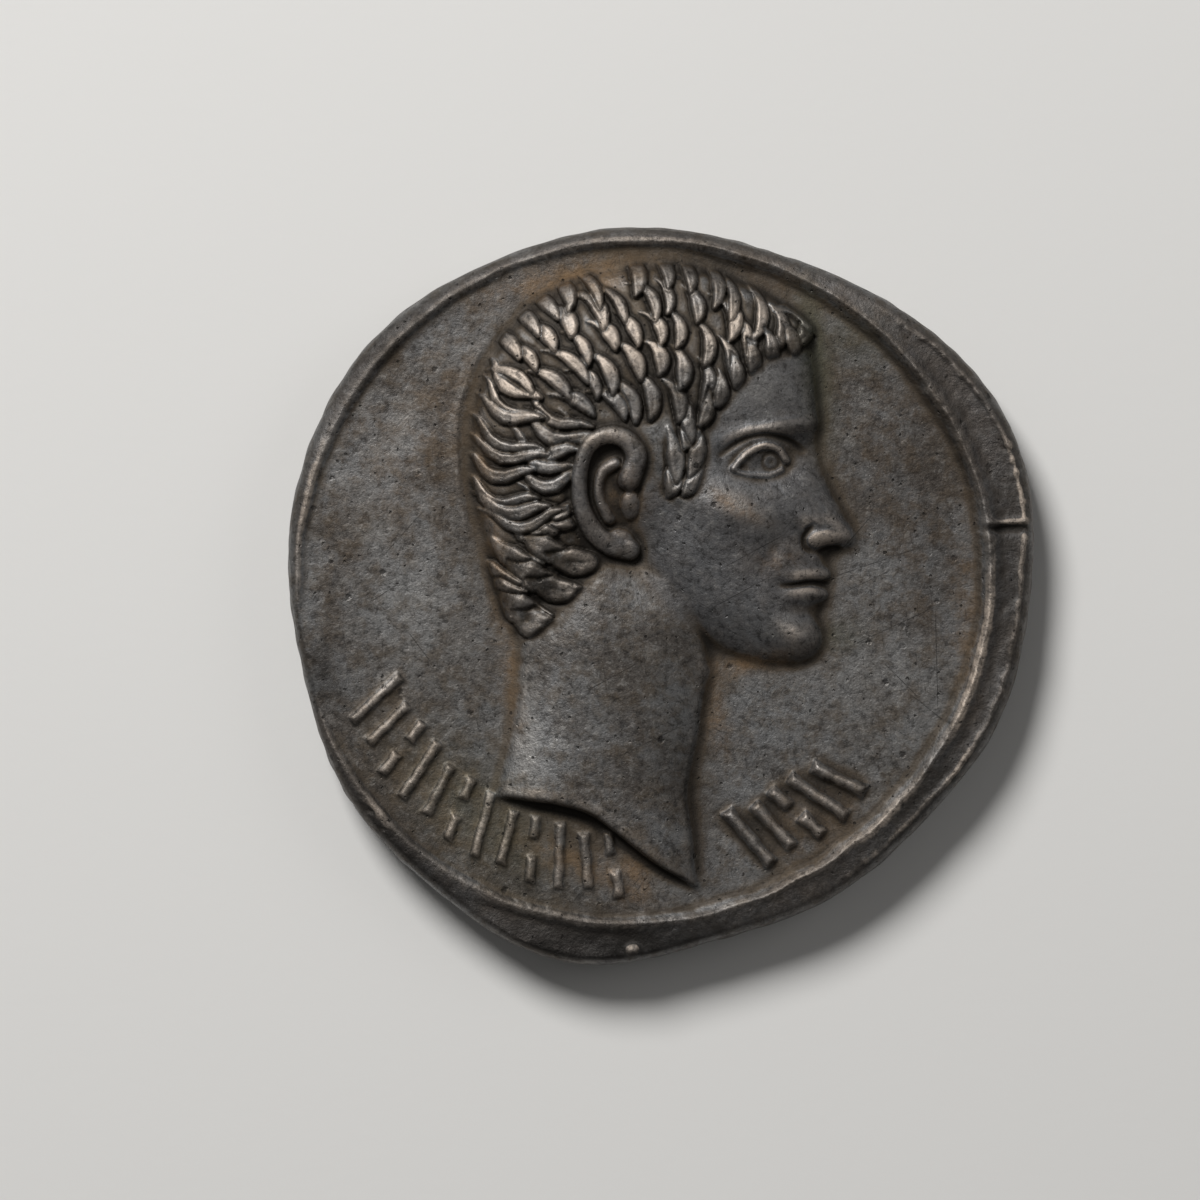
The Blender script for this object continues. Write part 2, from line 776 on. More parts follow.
    def stamp_masses(self, relief: Relief) -> None:
        """Raise the face, the skull under the hair, the neck and the faint line behind them.

        Args:
            relief: Map of heights that it is raised on.
        """
        crown = self.skull()
        back = self.curve([*crown, *self.nape])
        face = np.concatenate([
            self.curve(self.profile), self.curve([self.profile[-1], *self.jaw]),
            self.curve([self.jaw[-1], (-2.0, 0.75), self.nape[-1]]), back[::-1],
        ])
        throat = self.on_coin(self.throat)
        neck = np.concatenate([self.curve([*self.neck_back, *self.neck_cut, *self.neck_front]), throat])
        column = np.concatenate([
            self.curve([*self.neck_back[:4], (-3.05, -1.9), (-3.1, -3.2)]),
            self.curve([(-0.9, -3.4), (-0.98, -2.4), *self.neck_front]), throat,
        ])
        hair_edge = np.concatenate([
            self.curve([(0.0, 2.84), crown[0]]), back, self.curve([self.nape[-1], *self.earline[::-1]]),
            self.curve([self.earline[0], *self.hairline[::-1]]),
        ])
        self.face_depth = relief.depth_inside(face)
        self.hair_depth = relief.depth_inside(hair_edge)
        neck_depth = relief.depth_inside(neck)
        column_depth = relief.depth_inside(column)
        front = relief.softened(self.face_rise * dome(self.face_depth, 4.0, 0.54), 0.12)
        front += self.face_forms(relief)
        cut_off = smoothstep(-0.06, 0.12, neck_depth) * smoothstep(-0.05, 0.5, column_depth)
        muscle = self.curve([(-2.1, 0.7), (-1.75, -0.2), (-1.4, -1.0), (-1.15, -1.7)])
        part, distance, _ = relief.along(muscle, 3.0)
        neck_body = self.neck_rise * relief.softened(dome(column_depth, 2.7, 0.6), 0.4) * cut_off
        neck_body[part] += 0.08 * bell(distance, 0.9) * smoothstep(0, 0.6, neck_depth[part])
        behind_face = relief.x - self.on_coin([(0.0, 0.0)])[0][0]
        jaw_soft = 0.1 + 0.5 * smoothstep(-0.75 * self.unit, -1.5 * self.unit, behind_face)
        hair = self.hair_rise * smoothstep(-0.05, 0.3, self.hair_depth)
        body = smooth_max(front, neck_body, jaw_soft) + hair
        relief.z = np.where(body > 0.001, np.maximum(relief.z, body), relief.z)
        halo = self.curve([*crown[7:], *self.nape[:3]]) - (self.halo_gap, 0.0)
        part, distance, share = relief.along(halo, 0.5)
        relief.z[part] += self.halo_rise * bell(distance, 0.14) * np.sin(math.pi * share)

    def face_forms(self, relief: Relief) -> Grid:
        """Return the broad forms of the face as heights to add.

        Args:
            relief: Map whose raster they are measured on.

        Returns:
            The heights, fading out at the face's edge.
        """
        corner = self.on_coin([(0.0, 0.0)])[0]
        u, v = (relief.x - corner[0]) / self.unit, (relief.y - corner[1]) / self.unit
        total = np.zeros_like(u)
        for form in self.forms:
            c, s = math.cos(math.radians(form.lean)), math.sin(math.radians(form.lean))
            a = ((u - form.middle[0]) * c + (v - form.middle[1]) * s) / form.reach[0]
            b = (-(u - form.middle[0]) * s + (v - form.middle[1]) * c) / form.reach[1]
            total += form.rise * np.exp(-(a**2) - b**2)
        return total * smoothstep(0.0, 0.3, self.face_depth)

    def lock_line(self, root: Grid, heading: float, bend: float, length: float, waved: bool) -> Grid:
        """Lay the middle line of a lock.

        Args:
            root: Where the lock starts.
            heading: Its mean direction.
            bend: How far it turns along its length.
            length: Its length.
            waved: Whether it turns one way and back, as an S.

        Returns:
            The line's points.
        """
        steps = 8
        share = (np.arange(steps) + 0.5) / steps
        sway = 0.5 * np.sin(2 * math.pi * share) if waved else share - 0.5
        turn = np.radians(heading + bend * sway)
        moves = np.stack([np.cos(turn), np.sin(turn)], axis=1) * length / steps
        return np.concatenate([[root], root + np.cumsum(moves, axis=0)])

    def lock_at(self, row: LockRow, degrees: float, seed: int) -> Lock:
        """Make the lock of a row whose root is at an angle round the ear.

        Args:
            row: The row it belongs to.
            degrees: Angle about the hair's origin.
            seed: Number that sets the lock's small differences.

        Returns:
            The lock.
        """
        shape = LOCK_SHAPES[row.kind]
        turn = math.radians(degrees)
        reach = row.radius + self.root_play * chance(seed)
        root = (self.lock_origin[0] + reach * math.cos(turn), self.lock_origin[1] + reach * math.sin(turn))
        comb, change = self.front_comb if degrees < self.parting else self.back_comb
        heading = comb + change * (degrees - self.parting)
        heading += shape.turned + self.heading_play * chance(seed + 1)
        length = shape.length * self.unit * (1 + self.length_play * chance(seed + 2))
        half = shape.half * (1 + self.half_play * chance(seed + 3))
        bend = shape.bend * (1 + self.bend_play * chance(seed + 4))
        line = self.lock_line(self.on_coin([root])[0], heading, bend, length, row.kind is LockKind.WAVE)
        return Lock(line, half, shape.belly, shape.point, row.rise)

    def stamp_hair(self, relief: Relief) -> None:
        """Raise the rows of locks, each row lapping over the one inside it, and the fringe.

        Args:
            relief: Map of heights that it is raised on.
        """
        base = relief.z.copy()
        locks = []
        for number, row in enumerate(self.lock_rows):
            span = row.end - row.start
            spacing = LOCK_SHAPES[row.kind].spacing
            count = int(math.floor(math.radians(span) * row.radius / spacing + 0.5))
            for place in range(count):
                degrees = row.start + span * (place + (0.5 if number % 2 else 0.0)) / count
                locks.append(self.lock_at(row, degrees, 100 * number + 5 * place))
        for lock in locks:
            column, line_row = np.round((lock.line[5] + relief.half) / relief.step).astype(int)
            if self.hair_depth[line_row, column] > 0.05:
                self.stamp_lock(relief, base, lock)
        for lock in self.fringe_locks():
            self.stamp_lock(relief, base, lock)
        log.info("hair: %d rows of locks", len(self.lock_rows))

    def fringe_locks(self) -> list[Lock]:
        """Return the short locks along the hairline and the one that falls over the forehead.

        Returns:
            The locks, in the order in which they lap.
        """
        brow = self.lock_line(self.on_coin([self.brow_root])[0], -24, -104, self.brow_length, False)
        locks = [Lock(brow, 0.11, 0.7, 0.5, 0.9)]
        for place, root in enumerate(self.fringe):
            heading = -66 - 7 * place + 6 * chance(900 + 3 * place)
            length = self.fringe_length * (1 + 0.09 * chance(901 + 3 * place))
            line = self.lock_line(self.on_coin([root])[0], heading, -54, length, False)
            locks.append(Lock(line, 0.073, 0.6, 0.5, 0.9))
        return locks[::-1]

    def stamp_lock(self, relief: Relief, base: Grid, lock: Lock) -> None:
        """Raise one lock: rounded across, thin at its root, with a groove round it.

        Args:
            relief: Map to raise it on.
            base: The head's heights without hair.
            lock: The lock.
        """
        half = lock.half * self.unit
        part, distance, share = relief.along(lock.line, half + 0.35)
        to_belly = 0.12 + 0.88 * np.clip(share / lock.belly, 0, 1) ** 0.9
        past = np.clip((share - lock.belly) / (1.04 - lock.belly), 0, 1)
        width = half * to_belly * np.clip(1 - past**2, 0.005, 1) ** lock.point
        on_head = smoothstep(-0.16, 0.04, self.hair_depth[part])
        worn_top = np.minimum(cap(distance / width, 0.55), 0.8) / 0.8
        rise = self.lock_rise * lock.rise * (0.35 + 0.65 * smoothstep(0, 0.55, share)) * worn_top
        parting = smoothstep(0.2, 0.45, share) * smoothstep(0.98, 0.8, share)
        rise = rise - 0.025 * bell(distance, 0.05) * parting
        trench = 0.5 * self.lock_rise * bell(distance - width, 0.06) * smoothstep(0.05, 0.35, share)
        sunk = relief.z[part] - trench * on_head
        relief.z[part] = np.where(distance <= width, base[part] + rise * on_head, sunk)

    def stamp_cord(self, relief: Relief, points: Sequence[Point], half: float, rise: float, floor: Grid,
                   power: float = 0.5, slim: float = 0.0) -> None:
        """Raise a rounded cord through points in head units.

        Args:
            relief: Map to raise it on.
            points: Points of its middle line.
            half: Half its width, in head units.
            rise: Its height above the floor.
            floor: Heights that it stands on.
            power: How square its section is; less is squarer.
            slim: Share of its width that it loses halfway along.
        """
        part, distance, share = relief.along(self.curve(points), half * self.unit + 0.2)
        width = half * self.unit * (1 - slim * np.sin(math.pi * share) ** 2)
        raised = np.maximum(relief.z[part], floor[part] + rise * cap(distance / width, power))
        relief.z[part] = np.where(distance < width, raised, relief.z[part])

    def stamp_groove(self, relief: Relief, points: Sequence[Point], width: float, depth: float) -> None:
        """Cut a soft groove through points in head units.

        Args:
            relief: Map to cut it in.
            points: Points of its middle line.
            width: Its width, in head units.
            depth: Its depth halfway along.
        """
        part, distance, share = relief.along(self.curve(points), 3 * width * self.unit)
        fade = np.sin(math.pi * np.clip(share, 0.02, 0.98)) ** 0.4
        relief.z[part] -= depth * fade * bell(distance, width * self.unit)

    def oval(self, relief: Relief, middle: Point, reach: Point) -> Grid:
        """Return each place's share of the way from an oval's middle to its edge."""
        x, y = self.on_coin([middle])[0]
        return np.hypot((relief.x - x) / (reach[0] * self.unit), (relief.y - y) / (reach[1] * self.unit))

    def stamp_eye(self, relief: Relief) -> None:
        """Raise the eyeball and its lids.

        Args:
            relief: Map of heights that it is raised on.
        """
        relief.z += 0.18 * cap(np.minimum(self.oval(relief, (-0.47, 1.755), (0.21, 0.115)), 1.0), 0.6)
        iris = self.oval(relief, (-0.4, 1.76), (1.0, 1.0))
        relief.z -= 0.05 * bell(iris, 0.025) + 0.06 * bell(iris - 0.075, 0.014)
        floor = relief.z.copy()
        upper = ((-0.73, 1.7), (-0.62, 1.83), (-0.46, 1.895), (-0.33, 1.865), (-0.26, 1.77))
        lower = ((-0.72, 1.68), (-0.58, 1.645), (-0.42, 1.64), (-0.3, 1.69))
        crease = ((-0.85, 1.82), (-0.66, 1.95), (-0.44, 2.0), (-0.24, 1.95), (-0.12, 1.86))
        self.stamp_cord(relief, upper, 0.034, 0.2, floor, 0.35)
        self.stamp_cord(relief, lower, 0.026, 0.13, floor, 0.35)
        self.stamp_groove(relief, crease, 0.026, 0.17)

    def stamp_nose_and_mouth(self, relief: Relief) -> None:
        """Raise the nostril's wing and the lips, and cut the grooves between them.

        Args:
            relief: Map of heights that it is raised on.
        """
        on_face = self.face_depth > 0
        relief.z += 0.17 * cap(np.minimum(self.oval(relief, (0.07, 1.065), (0.155, 0.1)), 1.0), 0.9) * on_face
        self.stamp_groove(relief, ((-0.02, 1.2), (-0.105, 1.1), (-0.1, 1.0), (-0.03, 0.955)), 0.024, 0.16)
        self.stamp_groove(relief, ((0.03, 0.965), (0.13, 1.0), (0.21, 1.0)), 0.022, 0.2)
        self.stamp_groove(relief, ((0.09, 0.675), (-0.05, 0.69), (-0.18, 0.665), (-0.3, 0.66)), 0.02, 0.19)
        relief.z += 0.11 * bell(self.oval(relief, (-0.04, 0.75), (0.2, 0.055)), 1.0) * on_face
        relief.z += 0.12 * bell(self.oval(relief, (-0.02, 0.59), (0.17, 0.06)), 1.0) * on_face

    def stamp_ear(self, relief: Relief) -> None:
        """Sink the ear's hollow and raise its outer fold, inner fold and lobe.

        Args:
            relief: Map of heights that it is raised on.
        """
        smooth = relief.softened(relief.z, 0.35)
        sink = np.clip(1.25 - self.oval(relief, (-1.83, 1.48), (0.24, 0.42)), 0, 0.35) / 0.35
        relief.z = relief.z * (1 - sink) + (smooth - 0.1) * sink
        floor = smooth - 0.04
        outer = (
            (-1.66, 1.6), (-1.6, 1.82), (-1.72, 1.97), (-1.9, 1.98), (-2.04, 1.86), (-2.1, 1.62),
            (-2.08, 1.36), (-1.97, 1.14), (-1.82, 1.02), (-1.66, 0.98),
        )
        inner = ((-1.78, 1.74), (-1.9, 1.66), (-1.93, 1.45), (-1.84, 1.25))
        self.stamp_cord(relief, outer, 0.1, self.ear_rise, floor, 0.3, 0.3)
        self.stamp_cord(relief, inner, 0.06, 0.42 * self.ear_rise, floor, 0.8, 0.2)
        flap_and_lobe = (((-1.65, 1.38), (0.085, 0.14), 0.5), ((-1.76, 1.04), (0.16, 0.13), 0.8))
        for middle, reach, part in flap_and_lobe:
            share = self.oval(relief, middle, reach)
            raised = np.maximum(relief.z, floor + part * self.ear_rise * cap(share, 0.5))
            relief.z = np.where(share < 1, raised, relief.z)


@dataclass(frozen=True)
class CornSheaf:
    """Ears of corn tied together, worn flat on their high points."""

    die: Die
    rise: float
    count: int = 6
    fan_step: float = 15.0
    ear_length: float = 5.6
    ear_half: float = 0.8
    stalk_length: float = 3.4
    stalk_half: float = 0.24
    tail_length: float = 4.4
    grain_pairs: int = 5
    tie_width: float = 3.0
    tie_height: float = 1.5
    foot_drop: float = 3.1

    @property
    def foot(self) -> Point:
        """Where the stalks are tied."""
        return self.die.middle[0], self.die.middle[1] - self.foot_drop

    def stamp(self, relief: Relief) -> None:
        """Raise every ear with its stalk, then the tie over them.

        Args:
            relief: Map of heights that it is raised on.
        """
        for ear in range(self.count):
            self.stamp_ear(relief, math.radians(90 + self.fan_step * (ear - (self.count - 1) / 2)))
        x, y = np.abs(relief.x - self.foot[0]), np.abs(relief.y - self.foot[1])
        across = smoothstep(0.5 * self.tie_width, 0.5 * self.tie_width - 0.3, x)
        upward = smoothstep(0.5 * self.tie_height, 0.5 * self.tie_height - 0.3, y)
        relief.z = np.maximum(relief.z, 1.2 * self.rise * across * upward)

    def along(self, turn: float, reach: float, sideways: float = 0.0) -> Point:
        """Return a place along an ear from the tie."""
        c, s = math.cos(turn), math.sin(turn)
        return self.foot[0] + reach * c - sideways * s, self.foot[1] + reach * s + sideways * c

    def stamp_ear(self, relief: Relief, turn: float) -> None:
        """Raise one stalk and its pairs of grains.

        Args:
            relief: Map to raise them on.
            turn: Direction of the ear in radians.
        """
        reaches = (-self.tail_length, 0.0, self.stalk_length + 0.5 * self.ear_length)
        stalk = np.array([self.along(turn, reach) for reach in reaches])
        part, distance, _ = relief.along(stalk, self.stalk_half + 0.1)
        rise = 0.6 * self.rise * cap(np.minimum(distance / self.stalk_half, 1.0), 0.5)
        relief.z[part] = np.maximum(relief.z[part], rise)
        grain = self.ear_length / (self.grain_pairs + 0.6)
        for pair in range(self.grain_pairs):
            for side in (-1, 1):
                reach = self.stalk_length + (pair + 0.5) * grain
                middle = self.along(turn, reach, side * 0.5 * self.ear_half)
                self.stamp_grain(relief, middle, turn + side * math.radians(16), grain)
        tip = self.along(turn, self.stalk_length + (self.grain_pairs + 0.3) * grain)
        self.stamp_grain(relief, tip, turn, grain)

    def stamp_grain(self, relief: Relief, middle: Point, heading: float, length: float) -> None:
        """Raise one oval grain.

        Args:
            relief: Map to raise it on.
            middle: Middle of the grain.
            heading: Its direction in radians.
            length: Length along the ear that it takes up.
        """
        part = relief.window(np.array([middle, middle]), length)
        dx, dy = relief.x[part] - middle[0], relief.y[part] - middle[1]
        a = (dx * math.cos(heading) + dy * math.sin(heading)) / (0.66 * length)
        b = (-dx * math.sin(heading) + dy * math.cos(heading)) / (0.5 * self.ear_half)
        rise = 1.15 * self.rise * cap(np.minimum(np.hypot(a, b), 1.0), 0.5)
        relief.z[part] = np.maximum(relief.z[part], rise)


class Tone(Enum):
    """What a patch of the portrait side's surface is: toned, rubbed, pale or dirty."""

    GOLDEN = "golden"
    GREEN = "green"
    WORN = "worn"
    PALE = "pale"
    DARK = "dark"


@dataclass(frozen=True)
class Patch:
    """A soft patch of one tone, its middle measured from the middle of the coin's box."""

    tone: Tone
    middle: Point
    reach: Point
    lean: float
    strength: float


PATCHES = (
    Patch(Tone.GOLDEN, (-3.2, 11.0), (2.6, 0.5), 12, 0.7),
    Patch(Tone.GOLDEN, (-1.4, 3.4), (0.8, 1.3), 0, 0.45),
    Patch(Tone.GOLDEN, (3.2, -2.3), (1.5, 0.35), 10, 0.6),
    Patch(Tone.GOLDEN, (4.2, 1.2), (0.9, 0.5), 0, 0.35),
    Patch(Tone.GOLDEN, (-8.5, 5.5), (2.0, 4.0), -30, 0.16),
    Patch(Tone.GOLDEN, (8.6, 3.4), (1.8, 4.5), 12, 0.14),
    Patch(Tone.GOLDEN, (2.6, 3.1), (1.0, 0.3), -28, 0.6),
    Patch(Tone.GOLDEN, (-5.9, 2.4), (0.3, 3.6), 8, 0.55),
    Patch(Tone.GOLDEN, (-5.2, -2.6), (0.3, 2.4), 6, 0.4),
    Patch(Tone.GOLDEN, (-1.0, -9.9), (0.5, 0.8), 0, 0.8),
    Patch(Tone.GOLDEN, (-3.0, -9.2), (2.2, 0.5), -24, 0.55),
    Patch(Tone.GOLDEN, (-7.0, -7.4), (2.6, 1.3), -45, 0.25),
    Patch(Tone.GOLDEN, (5.0, -8.0), (2.0, 1.2), 35, 0.2),
    Patch(Tone.GOLDEN, (1.9, -4.2), (0.35, 1.2), 8, 0.45),
    Patch(Tone.GOLDEN, (10.6, -0.6), (0.5, 4.0), 2, 0.35),
    Patch(Tone.GOLDEN, (6.0, 10.4), (4.0, 0.8), -28, 0.2),
    Patch(Tone.GREEN, (5.3, 8.4), (0.5, 2.6), 6, 0.9),
    Patch(Tone.GREEN, (6.6, 9.0), (1.4, 1.0), 0, 0.35),
    Patch(Tone.GREEN, (-6.3, -7.6), (3.2, 1.5), -42, 0.5),
    Patch(Tone.GREEN, (6.2, -1.4), (0.7, 0.5), 0, 0.45),
    Patch(Tone.WORN, (-2.1, 8.7), (3.4, 1.2), 5, 1.0),
    Patch(Tone.WORN, (-5.0, 7.6), (1.3, 1.5), 40, 1.0),
    Patch(Tone.WORN, (2.8, 9.3), (1.7, 0.8), 25, 0.75),
    Patch(Tone.WORN, (-1.9, 5.3), (0.9, 0.5), 0, 0.55),
    Patch(Tone.WORN, (-6.3, 3.0), (0.5, 2.6), 5, 0.5),
    Patch(Tone.WORN, (-4.5, -4.1), (0.5, 2.6), 5, 0.9),
    Patch(Tone.WORN, (2.9, 3.4), (1.7, 0.55), -35, 0.7),
    Patch(Tone.WORN, (5.4, 2.2), (1.0, 0.9), 0, 0.75),
    Patch(Tone.WORN, (4.9, 0.5), (0.9, 0.6), 0, 0.6),
    Patch(Tone.WORN, (4.1, -1.2), (1.0, 0.6), 15, 0.5),
    Patch(Tone.WORN, (3.4, 5.2), (1.6, 0.9), -10, 0.55),
    Patch(Tone.WORN, (-2.9, 1.1), (1.1, 1.9), 0, 0.35),
    Patch(Tone.WORN, (-8.9, -5.2), (1.7, 1.5), -50, 0.4),
    Patch(Tone.WORN, (-6.4, -8.1), (2.2, 1.5), -40, 0.36),
    Patch(Tone.WORN, (-2.8, -10.2), (2.4, 1.2), -12, 0.34),
    Patch(Tone.WORN, (5.2, -7.9), (2.6, 1.6), 35, 0.36),
    Patch(Tone.WORN, (-12.3, 3.6), (0.6, 3.4), -4, 0.5),
    Patch(Tone.WORN, (-8.6, 9.7), (3.4, 0.5), 42, 0.25),
    Patch(Tone.WORN, (-0.7, 12.5), (3.4, 0.4), 0, 0.35),
    Patch(Tone.WORN, (12.4, 4.4), (0.6, 4.6), -4, 0.9),
    Patch(Tone.WORN, (10.9, -2.8), (0.5, 4.8), -12, 0.9),
    Patch(Tone.WORN, (7.7, -8.3), (0.6, 2.6), -42, 0.7),
    Patch(Tone.WORN, (-10.0, -3.6), (1.0, 0.7), 30, 0.3),
    Patch(Tone.WORN, (-1.0, -11.9), (0.6, 0.4), 0, 0.9),
    Patch(Tone.WORN, (1.4, -11.75), (0.25, 0.12), 0, 0.9),
    Patch(Tone.WORN, (-5.3, -11.7), (1.6, 0.25), -22, 0.6),
    Patch(Tone.WORN, (-10.2, -7.7), (0.8, 0.7), -25, 0.8),
    Patch(Tone.PALE, (-8.2, -0.6), (2.2, 2.8), 10, 0.32),
    Patch(Tone.PALE, (-9.0, 5.8), (0.45, 2.4), -32, 0.7),
    Patch(Tone.PALE, (-9.8, 2.4), (0.9, 1.2), 0, 0.4),
    Patch(Tone.PALE, (-4.75, -4.0), (0.35, 2.6), 5, 0.75),
    Patch(Tone.PALE, (7.2, -3.0), (2.0, 2.4), 30, 0.35),
    Patch(Tone.PALE, (-4.7, 11.85), (0.35, 0.2), 20, 0.9),
    Patch(Tone.PALE, (-10.2, -7.7), (0.6, 0.5), -25, 0.35),
    Patch(Tone.PALE, (2.7, 3.1), (1.3, 0.4), -35, 0.75),
    Patch(Tone.PALE, (4.1, -1.0), (0.7, 0.45), 20, 0.6),
    Patch(Tone.PALE, (3.3, 7.2), (1.1, 0.8), 0, 0.65),
    Patch(Tone.DARK, (-11.7, -2.9), (0.8, 1.3), 10, 0.75),
    Patch(Tone.DARK, (-2.1, -12.3), (6.8, 1.2), 0, 1.15),
    Patch(Tone.DARK, (9.6, -7.8), (5.4, 1.2), 52, 1.15),
    Patch(Tone.DARK, (-9.2, -8.7), (4.4, 0.8), -45, 0.9),
    Patch(Tone.DARK, (-9.1, 9.5), (4.8, 0.85), 44, 0.75),
    Patch(Tone.DARK, (-12.6, 2.6), (0.5, 4.6), -6, 0.35),
    Patch(Tone.DARK, (3.4, 4.75), (0.8, 0.35), 0, 0.4),
    Patch(Tone.DARK, (3.6, 5.9), (1.3, 0.3), 5, 0.35),
    Patch(Tone.DARK, (1.0, -6.6), (0.7, 3.0), 8, 0.35),
    Patch(Tone.DARK, (1.2, 6.2), (1.3, 1.6), 0, 0.45),
    Patch(Tone.DARK, (-3.4, 0.4), (1.3, 2.2), 0, 0.4),
    Patch(Tone.DARK, (8.8, 3.6), (2.0, 4.6), 12, 0.45),
    Patch(Tone.DARK, (12.0, 1.5), (0.8, 4.5), 0, 0.55),
)


@dataclass
class CoinFaces:
    """The relief of both sides, with the heights and the toning that the mesh carries."""

    flan: Flan
    step: float = 0.04
    margin: float = 0.4
    softness: float = 0.04
    front_die_middle: Point = (-0.71, 0.5)
    front_rim_width: float = 0.94
    back_die_middle: Point = (0.25, -0.2)
    back_rim_width: float = 1.75
    back_rise: float = 0.4
    back_snap: float = 0.05
    left_row: tuple[float, int] = (204.0, 12)
    right_row: tuple[float, int] = (293.0, 5)
    back_row: tuple[float, int] = (158.0, 7)

    @property
    def front_die(self) -> Die:
        """The portrait die."""
        return Die(self.front_die_middle, self.flan.radius - self.front_rim_width)

    def front(self) -> tuple[Relief, Portrait]:
        """Build the portrait side.

        Returns:
            Its relief and the portrait on it.
        """
        relief = Relief(self.flan.width / 2 + self.margin, self.step)
        die = self.front_die
        Rim(self.flan, die).stamp(relief)
        relief.z += 0.022 * wander(relief.x, relief.y, 6.0, 40) + 0.008 * wander(relief.x, relief.y, 1.6, 60)
        for start, count in (self.left_row, self.right_row):
            StrokeRow(die, start, count).stamp(relief)
        portrait = Portrait(die)
        portrait.stamp(relief)
        relief.z += 0.007 * wander(relief.x, relief.y, 0.7, 80)
        relief.z = 0.5 * relief.z + 0.5 * relief.softened(relief.z, self.softness)
        return relief, portrait

    def back(self) -> Relief:
        """Build the back, with its high points worn to one plane.

        Returns:
            Its relief.
        """
        relief = Relief(self.flan.width / 2 + self.margin, self.step)
        die = Die(self.back_die_middle, self.flan.radius - self.back_rim_width)
        CornSheaf(die, self.back_rise).stamp(relief)
        start, count = self.back_row
        StrokeRow(die, start, count).stamp(relief)
        StrokeRow(die, 180 - start - (count - 1) * StrokeRow.pitch, count).stamp(relief)
        inside = self.flan.inside(relief.x, relief.y)
        rim = 1.3 * self.back_rise * smoothstep(-0.5, 0, die.outside(relief.x, relief.y))
        relief.z = np.maximum(relief.z, rim)
        relief.z -= 0.012 * (1 + wander(relief.x, relief.y, 3.0, 90)) * (relief.z < self.back_rise - 0.1)
        relief.z = relief.softened(relief.z, self.softness)
        worn = relief.z > self.back_rise - self.back_snap
        relief.z = np.where(worn, self.back_rise, relief.z) - self.flan.roll_off(inside)
        return relief

    def painted(self, relief: Relief, tone: Tone) -> Grid:
        """Return the strength of one tone over the portrait side.

        Args:
            relief: Map whose raster it is painted on.
            tone: The tone.

        Returns:
            Its strength at each point of the raster.
        """
        total = np.zeros_like(relief.x)
        for patch in PATCHES:
            if patch.tone is tone:
                c, s = math.cos(math.radians(patch.lean)), math.sin(math.radians(patch.lean))
                dx = relief.x - self.flan.middle[0] - patch.middle[0]
                dy = relief.y - self.flan.middle[1] - patch.middle[1]
                a, b = (dx * c + dy * s) / patch.reach[0], (-dx * s + dy * c) / patch.reach[1]
                total = np.maximum(total, patch.strength * np.exp(-(a**2) - b**2))
        return total


